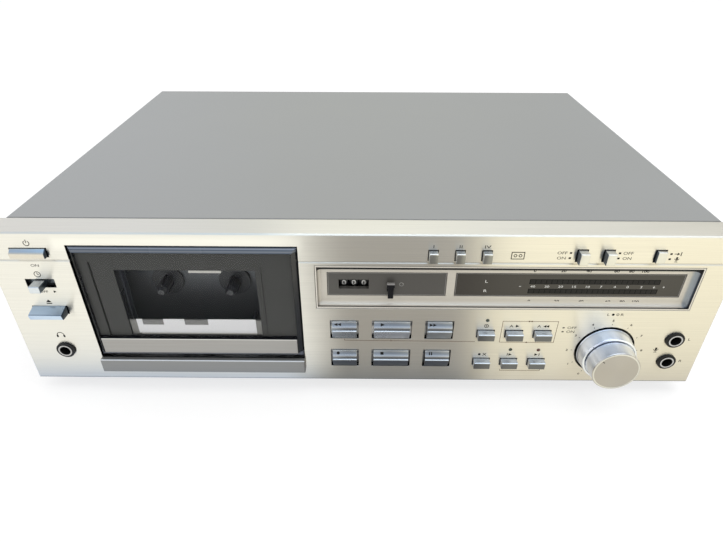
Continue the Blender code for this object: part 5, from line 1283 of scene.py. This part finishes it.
# Each holds the light to the left, in the middle and to the right, and the edges between them
FAR_LEFT = (1.4, 1.43, 1.38)
FAR_MIDDLE = (0.48, 0.46, 0.42)
FAR = (FAR_LEFT, FAR_MIDDLE, (1.52, 1.48, 1.21), (-9.5, -5.5, 11, 17.5))
BETWEEN = (FAR_LEFT, FAR_MIDDLE, (1.12, 1.08, 0.88), (-8.5, -1.5, 12, 19.5))
NEAR = ((0.45, 0.61, 0.92), (0.11, 0.13, 0.16), (0.76, 0.74, 0.68), (-12, -4, 12, 21))
BACK = ((1.08, 1.1, 1.14), (0.93, 0.94, 0.84), (0.76, 0.77, 0.73), (-32, -4, 4, 28))


def across(graph, azimuth, left, middle, right, edges):
    """left, middle and right by azimuth. edges are where each change starts and ends, in degrees."""
    turns = [radians(edge) for edge in edges]
    colour = graph.mix(graph.ramp(azimuth, turns[0], turns[1], smooth=True), left, middle)
    return graph.mix(graph.ramp(azimuth, turns[2], turns[3], smooth=True), colour, right)


def reflection_card(name, shape, colour_of):
    """A glowing card that only glossy rays see."""
    card, graph = stage_piece(name, shape)
    for rays in ("camera", "diffuse", "transmission", "shadow"):
        setattr(card, "visible_" + rays, False)
    place = graph.add("SeparateXYZ", {"Vector": graph.place()}).outputs
    colour = colour_of(graph, place["X"], place["Y"], place["Z"])
    glow = graph.out("Emission", {"Color": colour, "Strength": 1})
    graph.add("OutputMaterial", {"Surface": glow})


def screen_colour(graph, x, y, z):
    """On the dome: by azimuth in front and behind, and by elevation in front."""
    ahead = graph.math("ARCTAN2", x, graph.math("MULTIPLY", y, -1))
    behind = graph.math("ARCTAN2", x, y)
    elevation = graph.math("ARCSINE", graph.math("DIVIDE", z, SCREEN_RADIUS))
    front = across(graph, ahead, *FAR)
    for start, end, colour in ((16, 34, COOL_MIDDLE), (48, 64, COOL_TOP)):
        raised = graph.ramp(elevation, radians(start), radians(end), smooth=True)
        front = graph.mix(raised, front, colour)
    back = across(graph, behind, *BACK)
    side = graph.ramp(y, -0.2 * SCREEN_RADIUS, 0.2 * SCREEN_RADIUS, smooth=True)
    return graph.mix(side, front, back)


def card_colour(graph, x, y, z):
    """On the floor in front: by azimuth from the camera's mirror image, and by distance from the panel."""
    sideways = graph.math("SUBTRACT", x, MIRROR_POINT[0])
    forward = graph.math("SUBTRACT", MIRROR_POINT[1], y)
    azimuth = graph.math("ARCTAN2", sideways, forward)
    distance = graph.math("SUBTRACT", CORNER.y, y)
    near = across(graph, azimuth, *NEAR)
    between = across(graph, azimuth, *BETWEEN)
    far = across(graph, azimuth, *FAR)
    beyond = graph.mix(graph.ramp(distance, 0.07, 0.17, smooth=True), between, far)
    return graph.mix(graph.ramp(distance, 0.011, 0.036, smooth=True), near, beyond)


def studio_screens():
    """A dome, and a card on the floor before the deck: bright to the left and right, dim in the middle."""
    shape = bmesh.new()
    bmesh.ops.create_uvsphere(shape, u_segments=64, v_segments=32, radius=SCREEN_RADIUS)
    gone = [face for face in shape.faces if face.calc_center_median().z < 0]
    bmesh.ops.delete(shape, geom=gone, context="FACES")
    reflection_card("studio_dome", shape, screen_colour)
    shape = bmesh.new()
    half = 0.8 * SCREEN_RADIUS
    matrix = Matrix.Translation((0, CORNER.y + 0.02 - half / 2, 0.0008)) @ Matrix.Diagonal((2, 1, 1, 1))
    bmesh.ops.create_grid(shape, x_segments=1, y_segments=1, size=half / 2, matrix=matrix)
    reflection_card("studio_front_card", shape, card_colour)


def studio_light():
    world = bpy.data.worlds.new("studio")
    bpy.context.scene.world = world
    graph = Graph(world)
    strength = graph.ramp(seen_directly(graph), 0, 1, WORLD_LIGHT, 1)
    sky = graph.out("Background", {"Color": WHITE, "Strength": strength})
    graph.add("OutputWorld", {"Surface": sky})
    lamp = bpy.data.lights.new("overhead", "AREA")
    lamp.shape = "RECTANGLE"
    lamp.size = 1.4
    lamp.size_y = 1
    lamp.energy = 7
    thing = bpy.data.objects.new("overhead", lamp)
    thing.location = (0.45, -0.15, 1.3)
    thing.visible_camera = False
    bpy.context.scene.collection.objects.link(thing)


def camera():
    data = bpy.data.cameras.new("camera")
    data.lens = CAMERA_LENS
    data.sensor_width = SENSOR_WIDTH
    data.sensor_fit = "HORIZONTAL"
    data.clip_start = 0.01
    thing = bpy.data.objects.new("camera", data)
    bpy.context.scene.collection.objects.link(thing)
    matrix = Matrix.Translation(CAMERA_PLACE)
    for degrees, axis in ((-CAMERA_YAW, "Z"), (90 - CAMERA_PITCH, "X"), (CAMERA_ROLL, "Z")):
        matrix = matrix @ Matrix.Rotation(radians(degrees), 4, axis)
    thing.matrix_world = matrix
    bpy.context.scene.camera = thing


def corners(box):
    return [list(corner) for corner in box]


dress_nodes()
panel_marks()
key_caps()
key_signs()
lamps()
meter_face()
plate_outlines()
bezel_scale()
for wheel in ("counter_wheel_hundreds", "counter_wheel_tens", "counter_wheel_units"):
    counter_wheel(wheel)
level_knobs()
window_mask()
guide_strip()
case_screws()
foot_pads()
jack_rings()
white_floor()
studio_screens()
studio_light()
camera()
bpy.context.scene.view_settings.view_transform = "Standard"

{"cad": corners(CAD_BOX), "visual": corners(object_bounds())}
